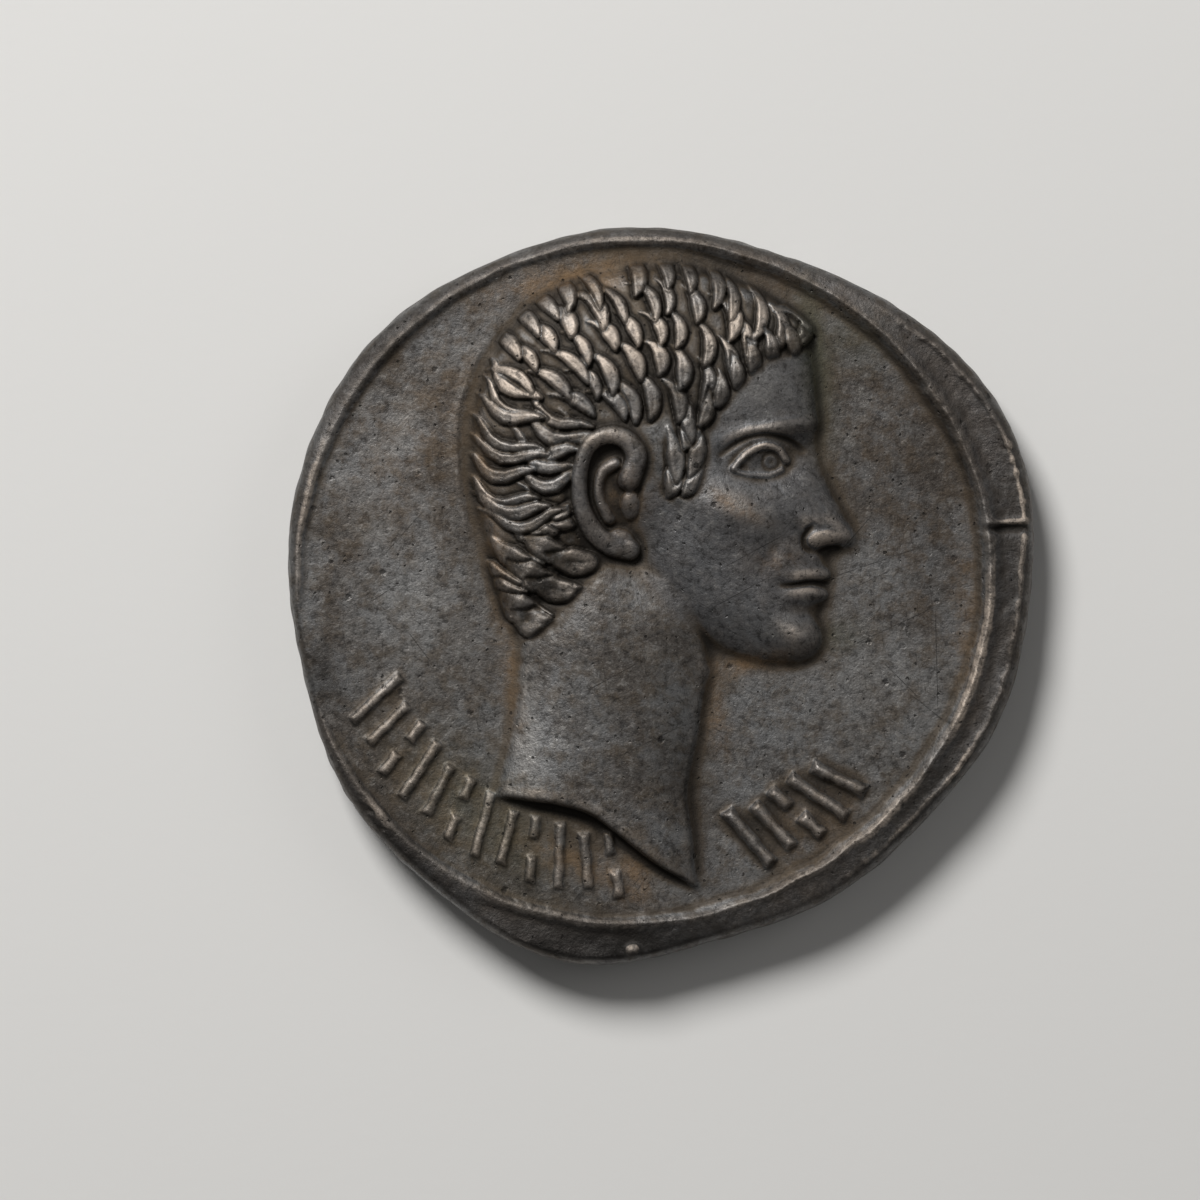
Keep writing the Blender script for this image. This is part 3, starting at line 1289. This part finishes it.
class FoldedSheet:
    """One face of the coin: a square of cells folded onto the flan and cut as finely as it bends.

    The cuts halve right-angled triangles at the middle of their longest side, so neighbours
    always meet corner to corner.
    """

    def __init__(self, faces: CoinFaces, relief: Relief, cells: int) -> None:
        """Fold the cells and read the relief at their corners.

        Args:
            faces: The coin's faces.
            relief: Heights of this face above its field.
            cells: Cells along one side of the square, a power of two.
        """
        self.cells = cells
        side = np.linspace(-1, 1, cells + 1)
        a, b = np.meshgrid(side, side)
        flat = np.abs(a) > np.abs(b)
        reach = np.where(flat, a, b)
        with np.errstate(divide="ignore", invalid="ignore"):
            turn = np.where(flat, math.pi / 4 * b / a, math.pi / 2 - math.pi / 4 * a / b)
        turn = np.where(reach == 0, 0.0, turn)
        x, y = reach * np.cos(turn), reach * np.sin(turn)
        radius = faces.flan.radius * faces.flan.outline.bent(np.arctan2(y, x)) - faces.flan.edge_round
        self.x, self.y = x * radius, y * radius
        self.z = relief.sampled(relief.z, self.x, self.y)

    def bend_errors(self, weight: Grid) -> Grid:
        """Return by how much the face is missed without each corner or those that depend on it.

        Args:
            weight: How much a miss counts at each corner.

        Returns:
            The errors, endless at every second corner of the border and 0 between them.
        """
        z, last = self.z, self.cells
        error = np.zeros_like(z)
        size = 2
        while size <= last:
            half = size // 2
            middles, ends = np.arange(half, last, size), np.arange(0, last + 1, size)
            for rows, columns, down, across in ((ends, middles, 0, half), (middles, ends, half, 0)):
                r, c = np.meshgrid(rows, columns, indexing="ij")
                own = np.abs(z[r, c] - (z[r - down, c - across] + z[r + down, c + across]) / 2) * weight[r, c]
                for dr, dc in ((-1, -1), (-1, 1), (1, -1), (1, 1)) if half > 1 else ():
                    below_r, below_c = r + dr * half // 2, c + dc * half // 2
                    inside = (below_r >= 0) & (below_r <= last) & (below_c >= 0) & (below_c <= last)
                    child = error[np.clip(below_r, 0, last), np.clip(below_c, 0, last)]
                    own = np.maximum(own, np.where(inside, child, 0))
                on_border = (r == 0) | (r == last) | (c == 0) | (c == last)
                error[r, c] = np.where(on_border, np.inf if half > 1 else 0.0, own)
            r, c = np.meshgrid(middles, middles, indexing="ij")
            rising = ((r // size + c // size) % 2 == 0)
            other = np.where(rising, half, -half)
            own = np.abs(z[r, c] - (z[r - half, c - other] + z[r + half, c + other]) / 2) * weight[r, c]
            for dr, dc in ((-half, 0), (half, 0), (0, -half), (0, half)):
                own = np.maximum(own, error[r + dr, c + dc])
            error[r, c] = own
            size *= 2
        return error

    def cut(self, weight: Grid, budget: int) -> tuple[Grid, Grid, Grid]:
        """Cut the face into about as many triangles as the budget.

        Args:
            weight: How much a miss counts at each corner.
            budget: Triangles to aim for.

        Returns:
            The corners' numbers on the square, counted row by row, the triangles, and the
            border's corners in order.
        """
        error = self.bend_errors(weight)
        ordered = np.sort(error.ravel())
        limit = ordered[-min(budget // 2, len(ordered) - 1)]
        last = self.cells
        a = np.array([[0, 0], [last, last]])
        b = np.array([[last, last], [0, 0]])
        c = np.array([[last, 0], [0, last]])
        done = []
        while len(a):
            middle = (a + b) // 2
            split = (np.abs(a - b).max(axis=1) > 1) & (error[middle[:, 1], middle[:, 0]] > limit)
            done.append(np.stack([b, a, c], axis=1)[~split])
            a, b, c, middle = a[split], b[split], c[split], middle[split]
            a, b, c = np.concatenate([c, b]), np.concatenate([a, c]), np.concatenate([middle, middle])
        corners = np.concatenate(done)
        numbers, triangles = np.unique(corners[..., 1] * (last + 1) + corners[..., 0], return_inverse=True)
        along = np.arange(0, last, 2)
        border = np.concatenate([
            along, along * (last + 1) + last, last * (last + 1) + last - along, (last - along) * (last + 1),
        ])
        return numbers, triangles.reshape(-1, 3), np.searchsorted(numbers, border)


@dataclass
class CoinMesh:
    """The closed mesh of the whole coin, with the values that its finish reads."""

    faces: CoinFaces
    cells: int = 512
    front_budget: int = 146000
    back_budget: int = 30000
    wall_bulges: tuple[float, ...] = (0.86, 0.6, 0.25, -0.15, -0.55, -0.86)

    def build(self) -> bpy.types.Object:
        """Build the coin's object.

        Returns:
            The object, with its values stored on the mesh's corners.
        """
        flan = self.faces.flan
        front, portrait = self.faces.front()
        back = self.faces.back()
        top, under = FoldedSheet(self.faces, front, self.cells), FoldedSheet(self.faces, back, self.cells)
        on_head = front.sampled(smoothstep(-0.2, 0.1, portrait.face_depth), top.x, top.y)
        top_numbers, top_triangles, top_border = top.cut(0.5 + 0.9 * on_head, self.front_budget)
        low_numbers, low_triangles, low_border = under.cut(np.ones_like(under.x), self.back_budget)
        top_level = self.faces.back_rise + flan.field_thickness
        top_corners = np.stack([top.x.ravel(), top.y.ravel(), top_level + top.z.ravel()], 1)[top_numbers]
        low_corners = np.stack([under.x.ravel(), under.y.ravel(), self.faces.back_rise - under.z.ravel()], 1)
        low_corners = low_corners[low_numbers]
        first_low = len(top_corners)
        corners = [top_corners, low_corners]
        triangles = [top_triangles, low_triangles[:, ::-1] + first_low]
        level, count = top_border, first_low + len(low_corners)
        for bulge in self.wall_bulges:
            ring = self.wall_ring(top_corners[top_border], low_corners[low_border], bulge)
            numbers = np.arange(count, count + len(ring))
            triangles.append(self.band(level, numbers))
            corners.append(ring)
            level, count = numbers, count + len(ring)
        triangles.append(self.band(level, low_border + first_low))
        places = np.concatenate(corners) - (*flan.middle, 0.0)
        places[:, 2] -= places[:, 2].min()
        mesh = bpy.data.meshes.new("struck_coin")
        mesh.from_pydata((places * METRES).tolist(), [], np.concatenate(triangles).tolist())
        mesh.validate()
        mesh.shade_smooth()
        self.store_values(mesh, front, portrait, back, top_corners, low_corners)
        coin = bpy.data.objects.new("struck_coin", mesh)
        bpy.context.collection.objects.link(coin)
        log.info("coin: %d triangles", len(mesh.polygons))
        return coin

    def band(self, upper: Grid, lower: Grid) -> Grid:
        """Return the triangles between two rings of the wall, facing outwards.

        Args:
            upper: Numbers of the upper ring's corners in order.
            lower: Numbers of the lower ring's corners in the same order.

        Returns:
            The triangles.
        """
        next_upper, next_lower = np.roll(upper, -1), np.roll(lower, -1)
        leaning = np.stack([upper, lower, next_upper], 1)
        standing = np.stack([next_upper, lower, next_lower], 1)
        return np.concatenate([leaning, standing])

    def wall_ring(self, top: Grid, low: Grid, bulge: float) -> Grid:
        """Return one ring of the rounded wall.

        Args:
            top: Corners of the front's border.
            low: Corners of the back's border.
            bulge: Height of the ring, 1 at the front's border and -1 at the back's.

        Returns:
            The ring's corners.
        """
        flan = self.faces.flan
        x, y = top[:, 0], top[:, 1]
        dents = 0.03 * wander(x + 2 * bulge, y - bulge, 1.3, 130) - 0.03
        out = 1 + (flan.edge_round * math.sqrt(1 - bulge**2) + dents * (1 - bulge**2)) / np.hypot(x, y)
        height = (top[:, 2] + low[:, 2]) / 2 + bulge * (top[:, 2] - low[:, 2]) / 2
        return np.stack([x * out, y * out, height], 1)

    def store_values(self, mesh: bpy.types.Mesh, front: Relief, portrait: Portrait, back: Relief,
                     top: Grid, low: Grid) -> None:
        """Store how hollow, rubbed and toned each corner is.

        Args:
            mesh: The coin's mesh, front corners first, then back, then wall.
            front: Relief of the portrait side.
            portrait: The portrait on it.
            back: Relief of the back.
            top: The front's corners.
            low: The back's corners.
        """
        skin = smoothstep(-0.05, 0.3, portrait.face_depth) * smoothstep(0.1, -0.1, portrait.hair_depth)
        band = smoothstep(-0.15, 0.1, self.faces.front_die.outside(front.x, front.y))
        grids = {"skin": (skin, None), "band": (band, None)}
        for name, radius in (("hollow", 0.2), ("broad_hollow", 0.8)):
            grids[name] = tuple(side.softened(side.z, radius) - side.z for side in (front, back))
        for tone in Tone:
            grids[tone.value] = (self.faces.painted(front, tone), None)
        for name, (top_grid, low_grid) in grids.items():
            values = np.zeros(len(mesh.vertices), dtype=np.float32)
            values[:len(top)] = front.sampled(top_grid, top[:, 0], top[:, 1])
            if low_grid is not None:
                values[len(top):len(top) + len(low)] = back.sampled(low_grid, low[:, 0], low[:, 1])
            mesh.attributes.new(name, "FLOAT", "POINT").data.foreach_set("value", values)


class ShaderTree:
    """A material's node tree, with short calls for the nodes that finishes use."""

    def __init__(self, name: str) -> None:
        """Start an empty material.

        Args:
            name: Name of the material.
        """
        self.material = bpy.data.materials.new(name)
        self.material.use_nodes = True
        self.nodes = self.material.node_tree.nodes
        self.links = self.material.node_tree.links
        self.nodes.clear()

    def node(self, kind: str, inputs: dict[str | int, object] | None = None,
             **settings: object) -> bpy.types.Node:
        """Add a node.

        Args:
            kind: Blender's name of the node type.
            inputs: Input sockets with a value or another node's output socket.
            **settings: Properties of the node.

        Returns:
            The node.
        """
        made = self.nodes.new(kind)
        for name, value in settings.items():
            setattr(made, name, value)
        for name, value in (inputs or {}).items():
            if isinstance(value, Socket):
                self.links.new(value, made.inputs[name])
            else:
                made.inputs[name].default_value = value
        return made

    def value(self, name: str) -> Socket:
        """Return the value that the mesh stores under a name."""
        return self.node("ShaderNodeAttribute", attribute_name=name).outputs["Fac"]

    def math(self, operation: str, first: Socket | float, second: Socket | float = 0.0,
             clamp: bool = False) -> Socket:
        """Return the result of a sum on two numbers or sockets."""
        made = self.node("ShaderNodeMath", {0: first, 1: second}, operation=operation, use_clamp=clamp)
        return made.outputs[0]

    def scaled(self, value: Socket, by: Socket | float) -> Socket:
        """Return a value times a number or another value."""
        return self.math("MULTIPLY", value, by)

    def dot(self, place: Socket, direction: Vector) -> Socket:
        """Return how far a place lies along a direction."""
        inputs = {0: place, 1: direction}
        return self.node("ShaderNodeVectorMath", inputs, operation="DOT_PRODUCT").outputs["Value"]

    def stretch(self, value: Socket, low: float, high: float,
                to_low: float = 0.0, to_high: float = 1.0) -> Socket:
        """Return a value eased from one range to another."""
        inputs = {"Value": value, "From Min": low, "From Max": high, "To Min": to_low, "To Max": to_high}
        return self.node("ShaderNodeMapRange", inputs, interpolation_type="SMOOTHSTEP").outputs[0]

    def mix(self, share: Socket | float, first: Socket | Colour, second: Socket | Colour) -> Socket:
        """Blend two colours, given as sockets or as red, green and blue.

        Args:
            share: How much of the second colour there is.
            first: Colour where the share is 0.
            second: Colour where the share is 1.

        Returns:
            The blended colour.
        """
        made = self.node("ShaderNodeMix", data_type="RGBA")
        for socket, value in zip((made.inputs[0], made.inputs[6], made.inputs[7]), (share, first, second)):
            if isinstance(value, Socket):
                self.links.new(value, socket)
            elif isinstance(value, (int, float)):
                socket.default_value = value
            else:
                socket.default_value = (*value, 1.0)
        return made.outputs[2]

    def noise(self, place: Socket, size: float, detail: float = 4.0, roughness: float = 0.55) -> Socket:
        """Return cloudy noise with patches of a size in millimetres."""
        inputs = {"Vector": place, "Scale": 1.0 / (size * METRES), "Detail": detail, "Roughness": roughness}
        return self.node("ShaderNodeTexNoise", inputs).outputs["Fac"]


@dataclass(frozen=True)
class Scratch:
    """A hairline scratch on the portrait side, from one place to another."""

    start: Point
    end: Point
    half: float = 0.03


@dataclass(frozen=True)
class Marks:
    """The patterns and stored values that the silver's colour, gloss and bump share."""

    clouds: Socket
    patches: Socket
    mottle: Socket
    grain: Socket
    pits: Socket
    hairlines: Socket
    scratches: Socket
    hollow: Socket
    broad_hollow: Socket
    band: Socket


@dataclass(frozen=True)
class TonedSilver:
    """Old silver: dark tarnish, golden toning in the hollows, rubbed high points, pits and hairlines."""

    tarnish: Colour = (0.084, 0.074, 0.065)
    grey: Colour = (0.162, 0.16, 0.158)
    skin_grey: Colour = (0.135, 0.136, 0.142)
    brown: Colour = (0.078, 0.059, 0.04)
    edge_grey: Colour = (0.074, 0.066, 0.061)
    gold: Colour = (0.24, 0.15, 0.078)
    green: Colour = (0.078, 0.082, 0.056)
    black: Colour = (0.016, 0.0145, 0.013)
    pale: Colour = (0.27, 0.257, 0.24)
    bright: Colour = (0.405, 0.342, 0.285)
    metallic: float = 0.86
    bump: float = 0.05
    hairline_turns: tuple[float, ...] = (14.0, 52.0, 98.0, 147.0)
    hairline_size: tuple[float, float, float] = (0.6, 0.055, 0.4)
    hairline_shift: float = 20.0
    fray_size: float = 0.12
    fray_reach: float = 0.16
    pit_kinds: tuple[Point, ...] = ((0.26, 0.72), (0.6, 0.86))
    scratches: tuple[Scratch, ...] = (
        Scratch((4.6, 0.2), (9.6, 1.9)), Scratch((5.4, -0.3), (8.2, 1.0)),
        Scratch((6.2, -1.9), (9.9, -0.2)), Scratch((9.6, -4.3), (9.5, -0.2)),
        Scratch((5.9, 1.2), (7.4, 2.9)), Scratch((8.5, -3.3), (9.9, -4.4)),
        Scratch((7.6, -2.2), (9.0, -3.6)), Scratch((1.4, -0.6), (4.0, 0.8)),
        Scratch((2.0, 0.9), (4.4, 2.2)), Scratch((-2.8, -3.4), (-0.6, -2.2)),
        Scratch((-1.6, -5.6), (0.9, -4.4)), Scratch((-9.8, 1.2), (-8.2, 3.0)),
        Scratch((-8.8, -1.2), (-7.9, -2.4)), Scratch((-10.2, -0.3), (-9.0, 0.5)),
    )

    def build(self) -> bpy.types.Material:
        """Build the material.

        Returns:
            The material, which reads the values stored on the coin's mesh.
        """
        tree = ShaderTree("toned_silver")
        place = tree.node("ShaderNodeNewGeometry").outputs["Position"]
        marks = self.marks(tree, place)
        sunk, rubbed = self.sunk(tree, marks), self.rubbed(tree, marks)
        colour = self.toned(tree, place, marks, sunk)
        colour = tree.mix(rubbed, colour, self.bright)
        colour = self.soiled(tree, marks, rubbed, colour)
        height = self.height(tree, marks)
        bump = tree.node("ShaderNodeBump", {
            "Height": height, "Distance": self.bump * METRES, "Strength": 1.0,
        })
        shader = tree.node("ShaderNodeBsdfPrincipled", {
            "Base Color": colour, "Roughness": self.roughness(tree, marks, sunk, rubbed),
            "Normal": bump.outputs[0], "Metallic": self.metallic,
        })
        tree.node("ShaderNodeOutputMaterial", {"Surface": shader.outputs[0]})
        return tree.material

    def marks(self, tree: ShaderTree, place: Socket) -> Marks:
        """Make the patterns that the finish shares.

        Args:
            tree: The material's nodes.
            place: Where on the coin each point lies.

        Returns:
            The patterns, from clouds of some millimetres down to single grains and hairlines.
        """
        mottle = tree.noise(place, 0.3, 5.0, 0.72)
        broken = tree.stretch(mottle, 0.4, 0.55, 0.3, 1.0)
        return Marks(
            clouds=tree.noise(place, 3.4, 6.0, 0.68),
            patches=tree.noise(place, 0.8, 6.0, 0.7),
            mottle=mottle,
            grain=tree.noise(place, 0.11, 4.0, 0.65),
            pits=self.pits(tree, place),
            hairlines=self.hairlines(tree, place),
            scratches=tree.scaled(self.scratched(tree, place), broken),
            hollow=tree.value("hollow"),
            broad_hollow=tree.value("broad_hollow"),
            band=tree.value("band"),
        )

    def sunk(self, tree: ShaderTree, marks: Marks) -> Socket:
        """Return how sheltered the surface is, from 0 to 1."""
        broad = tree.stretch(marks.broad_hollow, 0.02, 0.2, 0.0, 0.5)
        return tree.math("ADD", tree.stretch(marks.hollow, 0.0, 0.06), broad, clamp=True)

    def rubbed(self, tree: ShaderTree, marks: Marks) -> Socket:
        """Return how far handling has rubbed the high points bright, from 0 to 1.

        Args:
            tree: The material's nodes.
            marks: The finish's patterns.

        Returns:
            The share that is bright.
        """
        crest = tree.stretch(marks.hollow, -0.008, -0.05)
        uneven = tree.scaled(crest, tree.stretch(marks.mottle, 0.34, 0.58, 0.35, 1.0))
        return tree.scaled(uneven, tree.stretch(tree.value("worn"), 0.0, 0.8, 0.16, 0.95))

    def toned(self, tree: ShaderTree, place: Socket, marks: Marks, sunk: Socket) -> Socket:
        """Lay the toning from broad clouds to fine grain.

        Args:
            tree: The material's nodes.
            place: Where on the coin each point lies.
            marks: The finish's patterns.
            sunk: How sheltered the surface is.

        Returns:
            The toned colour, before wear and dirt.
        """
        drifts = tree.stretch(tree.noise(place, 1.5, 7.0, 0.75), 0.54, 0.7, 0.0, 0.45)
        pale = tree.scaled(tree.value("pale"), tree.stretch(marks.patches, 0.6, 0.38, 0.3, 1.0))
        warm = tree.scaled(tree.value("golden"), tree.stretch(marks.patches, 0.35, 0.62, 0.2, 0.9))
        colour = tree.mix(tree.stretch(marks.clouds, 0.4, 0.62), self.tarnish, self.grey)
        layers = (
            (drifts, self.pale),
            (tree.stretch(marks.patches, 0.44, 0.66, 0.0, 0.65), self.brown),
            (tree.scaled(tree.value("skin"), 0.55), self.skin_grey),
            (pale, self.pale),
            (tree.stretch(marks.mottle, 0.53, 0.7, 0.0, 0.5), self.pale),
            (tree.stretch(marks.mottle, 0.5, 0.34, 0.0, 0.6), self.black),
            (tree.scaled(tree.stretch(marks.grain, 0.58, 0.72), 0.35), self.pale),
            (tree.scaled(sunk, 0.8), self.brown),
            (warm, self.gold),
            (tree.scaled(tree.value("green"), 0.75), self.green),
            (tree.scaled(marks.band, 0.6), self.edge_grey),
        )
        for share, layer in layers:
            colour = tree.mix(share, colour, layer)
        return colour

    def soiled(self, tree: ShaderTree, marks: Marks, rubbed: Socket, colour: Socket) -> Socket:
        """Lay black dirt in the hollows, dark patches, pits, hairlines and scratches.

        Args:
            tree: The material's nodes.
            marks: The finish's patterns.
            rubbed: How far the surface is rubbed bright, where dirt holds less.
            colour: The colour to lay the dirt on.

        Returns:
            The finished colour.
        """
        dirty = tree.scaled(tree.value("dark"), tree.stretch(marks.patches, 0.3, 0.6, 0.55, 0.88))
        layers = (
            tree.stretch(marks.hollow, 0.02, 0.1, 0.0, 0.78),
            tree.scaled(dirty, tree.stretch(rubbed, 0.0, 0.8, 1.0, 0.25)),
            tree.scaled(tree.stretch(marks.grain, 0.42, 0.3), 0.6),
            tree.scaled(marks.hairlines, 0.34),
            tree.scaled(marks.pits, 0.8),
            tree.scaled(marks.scratches, 0.75),
        )
        for share in layers:
            colour = tree.mix(share, colour, self.black)
        return colour

    def roughness(self, tree: ShaderTree, marks: Marks, sunk: Socket, rubbed: Socket) -> Socket:
        """Return the roughness, higher in the hollows, on rubbed points and on the band.

        Args:
            tree: The material's nodes.
            marks: The finish's patterns.
            sunk: How sheltered the surface is.
            rubbed: How far it is rubbed bright.

        Returns:
            The roughness.
        """
        rough = tree.stretch(marks.patches, 0.3, 0.7, 0.46, 0.58)
        for share, by in ((sunk, 0.14), (rubbed, 0.1), (marks.band, 0.06)):
            rough = tree.math("ADD", rough, tree.scaled(share, by))
        return rough

    def height(self, tree: ShaderTree, marks: Marks) -> Socket:
        """Return the fine unevenness that the bump shows, stronger on the band.

        Args:
            tree: The material's nodes.
            marks: The finish's patterns.

        Returns:
            The height, where 1 stands for the bump's whole height.
        """
        height = tree.math("ADD", tree.scaled(marks.patches, 0.7), tree.scaled(marks.grain, 0.2))
        coarse = tree.stretch(marks.band, 0.0, 1.0, 0.4, 1.1)
        height = tree.math("ADD", height, tree.scaled(marks.mottle, coarse))
        return tree.math("SUBTRACT", height, tree.scaled(marks.pits, 0.5))

    def hairlines(self, tree: ShaderTree, place: Socket) -> Socket:
        """Return where fine wear lines cross the surface in several directions, from 0 to 1.

        Args:
            tree: The material's nodes.
            place: Where on the coin each point lies.

        Returns:
            How much of a line each point holds.
        """
        total = None
        size = tuple(length * METRES for length in self.hairline_size)
        for number, turn in enumerate(self.hairline_turns):
            drawn_out = tree.node("ShaderNodeMapping", {
                "Vector": place, "Rotation": (0.0, 0.0, math.radians(turn)),
                "Scale": size, "Location": (self.hairline_shift * METRES * number, 0.0, 0.0),
            }, vector_type="TEXTURE")
            inputs = {"Vector": drawn_out.outputs[0], "Scale": 1.0, "Detail": 1.5, "Roughness": 0.5}
            noise = tree.node("ShaderNodeTexNoise", inputs).outputs["Fac"]
            line = tree.stretch(noise, 0.63, 0.72)
            total = line if total is None else tree.math("MAXIMUM", total, line)
        return total

    def pits(self, tree: ShaderTree, place: Socket) -> Socket:
        """Return where small ragged pits lie, from 0 to 1.

        Args:
            tree: The material's nodes.
            place: Where on the coin each point lies.

        Returns:
            How much of a pit each point holds.
        """
        frayed = tree.node("ShaderNodeTexNoise", {
            "Vector": place, "Scale": 1 / (self.fray_size * METRES), "Detail": 2.0,
        })
        centred = {0: frayed.outputs["Color"], 1: (0.5, 0.5, 0.5)}
        shift = tree.node("ShaderNodeVectorMath", centred, operation="SUBTRACT").outputs[0]
        small = {0: shift, "Scale": self.fray_reach * METRES}
        moved = tree.node("ShaderNodeVectorMath", small, operation="SCALE").outputs[0]
        ragged = tree.node("ShaderNodeVectorMath", {0: place, 1: moved}, operation="ADD").outputs[0]
        total = None
        for size, keep in self.pit_kinds:
            cells = tree.node("ShaderNodeTexVoronoi", {"Vector": ragged, "Scale": 1.0 / (size * METRES)})
            chosen = tree.node("ShaderNodeSeparateColor", {0: cells.outputs["Color"]}).outputs[0]
            spot = tree.math("MULTIPLY", tree.stretch(cells.outputs["Distance"], 0.24, 0.08),
                             tree.stretch(chosen, keep, keep + 0.12))
            total = spot if total is None else tree.math("MAXIMUM", total, spot)
        return total

    def scratched(self, tree: ShaderTree, place: Socket) -> Socket:
        """Return where the hairline scratches run, from 0 to 1.

        Args:
            tree: The material's nodes.
            place: Where on the coin each point lies.

        Returns:
            How much of a scratch each point holds.
        """
        total = None
        for scratch in self.scratches:
            start, end = Vector((*scratch.start, 0.0)) * METRES, Vector((*scratch.end, 0.0)) * METRES
            span = end - start
            across = Vector((-span.y, span.x, 0.0)).normalized()
            side = tree.dot(place, across)
            away = tree.math("ABSOLUTE", tree.math("SUBTRACT", side, across.dot(start)))
            ahead = tree.dot(place, span / span.length_squared)
            share = tree.math("SUBTRACT", ahead, span.dot(start) / span.length_squared)
            off_end = tree.math("ABSOLUTE", tree.math("SUBTRACT", share, 0.5))
            line = tree.math("MULTIPLY", tree.stretch(away, scratch.half * METRES, 0.0),
                             tree.stretch(off_end, 0.5, 0.3))
            total = line if total is None else tree.math("MAXIMUM", total, line)
        return total


@dataclass(frozen=True)
class PaleFloor:
    """The plain pale table that the coin lies on. Its gap and its tooth are millimetres."""

    half: float = 0.6
    gap: float = 0.002
    tooth_size: float = 0.5
    tooth_bump: float = 0.01
    colour: Colour = (0.62, 0.61, 0.59)

    def build(self) -> bpy.types.Object:
        """Build the floor just under the coin's worn high points.

        Returns:
            The floor's object.
        """
        signs = ((-1, -1), (1, -1), (1, 1), (-1, 1))
        corners = [(x * self.half, y * self.half, -self.gap * METRES) for x, y in signs]
        mesh = bpy.data.meshes.new("table")
        mesh.from_pydata(corners, [], [(0, 1, 2, 3)])
        floor = bpy.data.objects.new("table", mesh)
        bpy.context.collection.objects.link(floor)
        tree = ShaderTree("table_paper")
        place = tree.node("ShaderNodeNewGeometry").outputs["Position"]
        tooth = tree.noise(place, self.tooth_size, 3.0)
        bump = tree.node("ShaderNodeBump", {
            "Height": tooth, "Distance": self.tooth_bump * METRES, "Strength": 0.4,
        })
        shader = tree.node("ShaderNodeBsdfPrincipled", {
            "Base Color": (*self.colour, 1.0), "Roughness": 0.9, "Normal": bump.outputs[0],
        })
        tree.node("ShaderNodeOutputMaterial", {"Surface": shader.outputs[0]})
        mesh.materials.append(tree.material)
        return floor


@dataclass(frozen=True)
class SoftLight:
    """One soft studio light that shines on the coin."""

    name: str
    place: tuple[float, float, float]
    size: float
    power: float

    def build(self) -> None:
        """Hang the light and turn it towards the coin."""
        data = bpy.data.lights.new(self.name, "AREA")
        data.shape = "DISK"
        data.size = self.size
        data.energy = self.power
        light = bpy.data.objects.new(self.name, data)
        light.location = self.place
        light.rotation_euler = (-Vector(self.place)).to_track_quat("-Z", "Y").to_euler()
        bpy.context.collection.objects.link(light)


@dataclass(frozen=True)
class Studio:
    """The soft lights, the dim surroundings and the camera straight above the coin.

    What the picture spans, where it is aimed and its outline's level are millimetres.
    """

    frame_width: float = 41.77
    aim: Point = (-2.12, -0.14)
    lens: float = 200.0
    sensor: float = 36.0
    outline_level: float = 1.2
    near: float = 0.01
    far: float = 10.0
    surround: float = 0.12
    lights: tuple[SoftLight, ...] = (
        SoftLight("key", (-0.12, 0.21, 0.24), 0.13, 1.45),
        SoftLight("fill", (0.24, 0.1, 0.2), 0.2, 0.1),
    )

    def build(self) -> None:
        """Set up the world, the lights and the camera."""
        world = bpy.data.worlds.new("room")
        world.use_nodes = True
        background = world.node_tree.nodes["Background"]
        background.inputs["Color"].default_value = (1.0, 1.0, 1.0, 1.0)
        background.inputs["Strength"].default_value = self.surround
        bpy.context.scene.world = world
        bpy.context.scene.view_settings.view_transform = "Standard"
        for light in self.lights:
            light.build()
        data = bpy.data.cameras.new("above")
        data.lens = self.lens
        data.sensor_width = self.sensor
        data.clip_start = self.near
        data.clip_end = self.far
        camera = bpy.data.objects.new("above", data)
        distance = self.frame_width * self.lens / self.sensor + self.outline_level
        camera.location = (self.aim[0] * METRES, self.aim[1] * METRES, distance * METRES)
        bpy.context.collection.objects.link(camera)
        bpy.context.scene.camera = camera


def main() -> None:
    """Build the studio, the floor and the coin."""
    logging.basicConfig(level=logging.INFO, format="%(name)s: %(message)s")
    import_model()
    Studio().build()
    PaleFloor().build()
    low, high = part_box("coin")
    flan = Flan(width=(high[0] - low[0]) / METRES)
    coin = CoinMesh(CoinFaces(flan)).build()
    coin.data.materials.append(TonedSilver().build())
    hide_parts("coin")
    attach(coin, "root")
    log.info("flan: %.2f mm wide", flan.width)


if __name__ == "__main__":
    main()
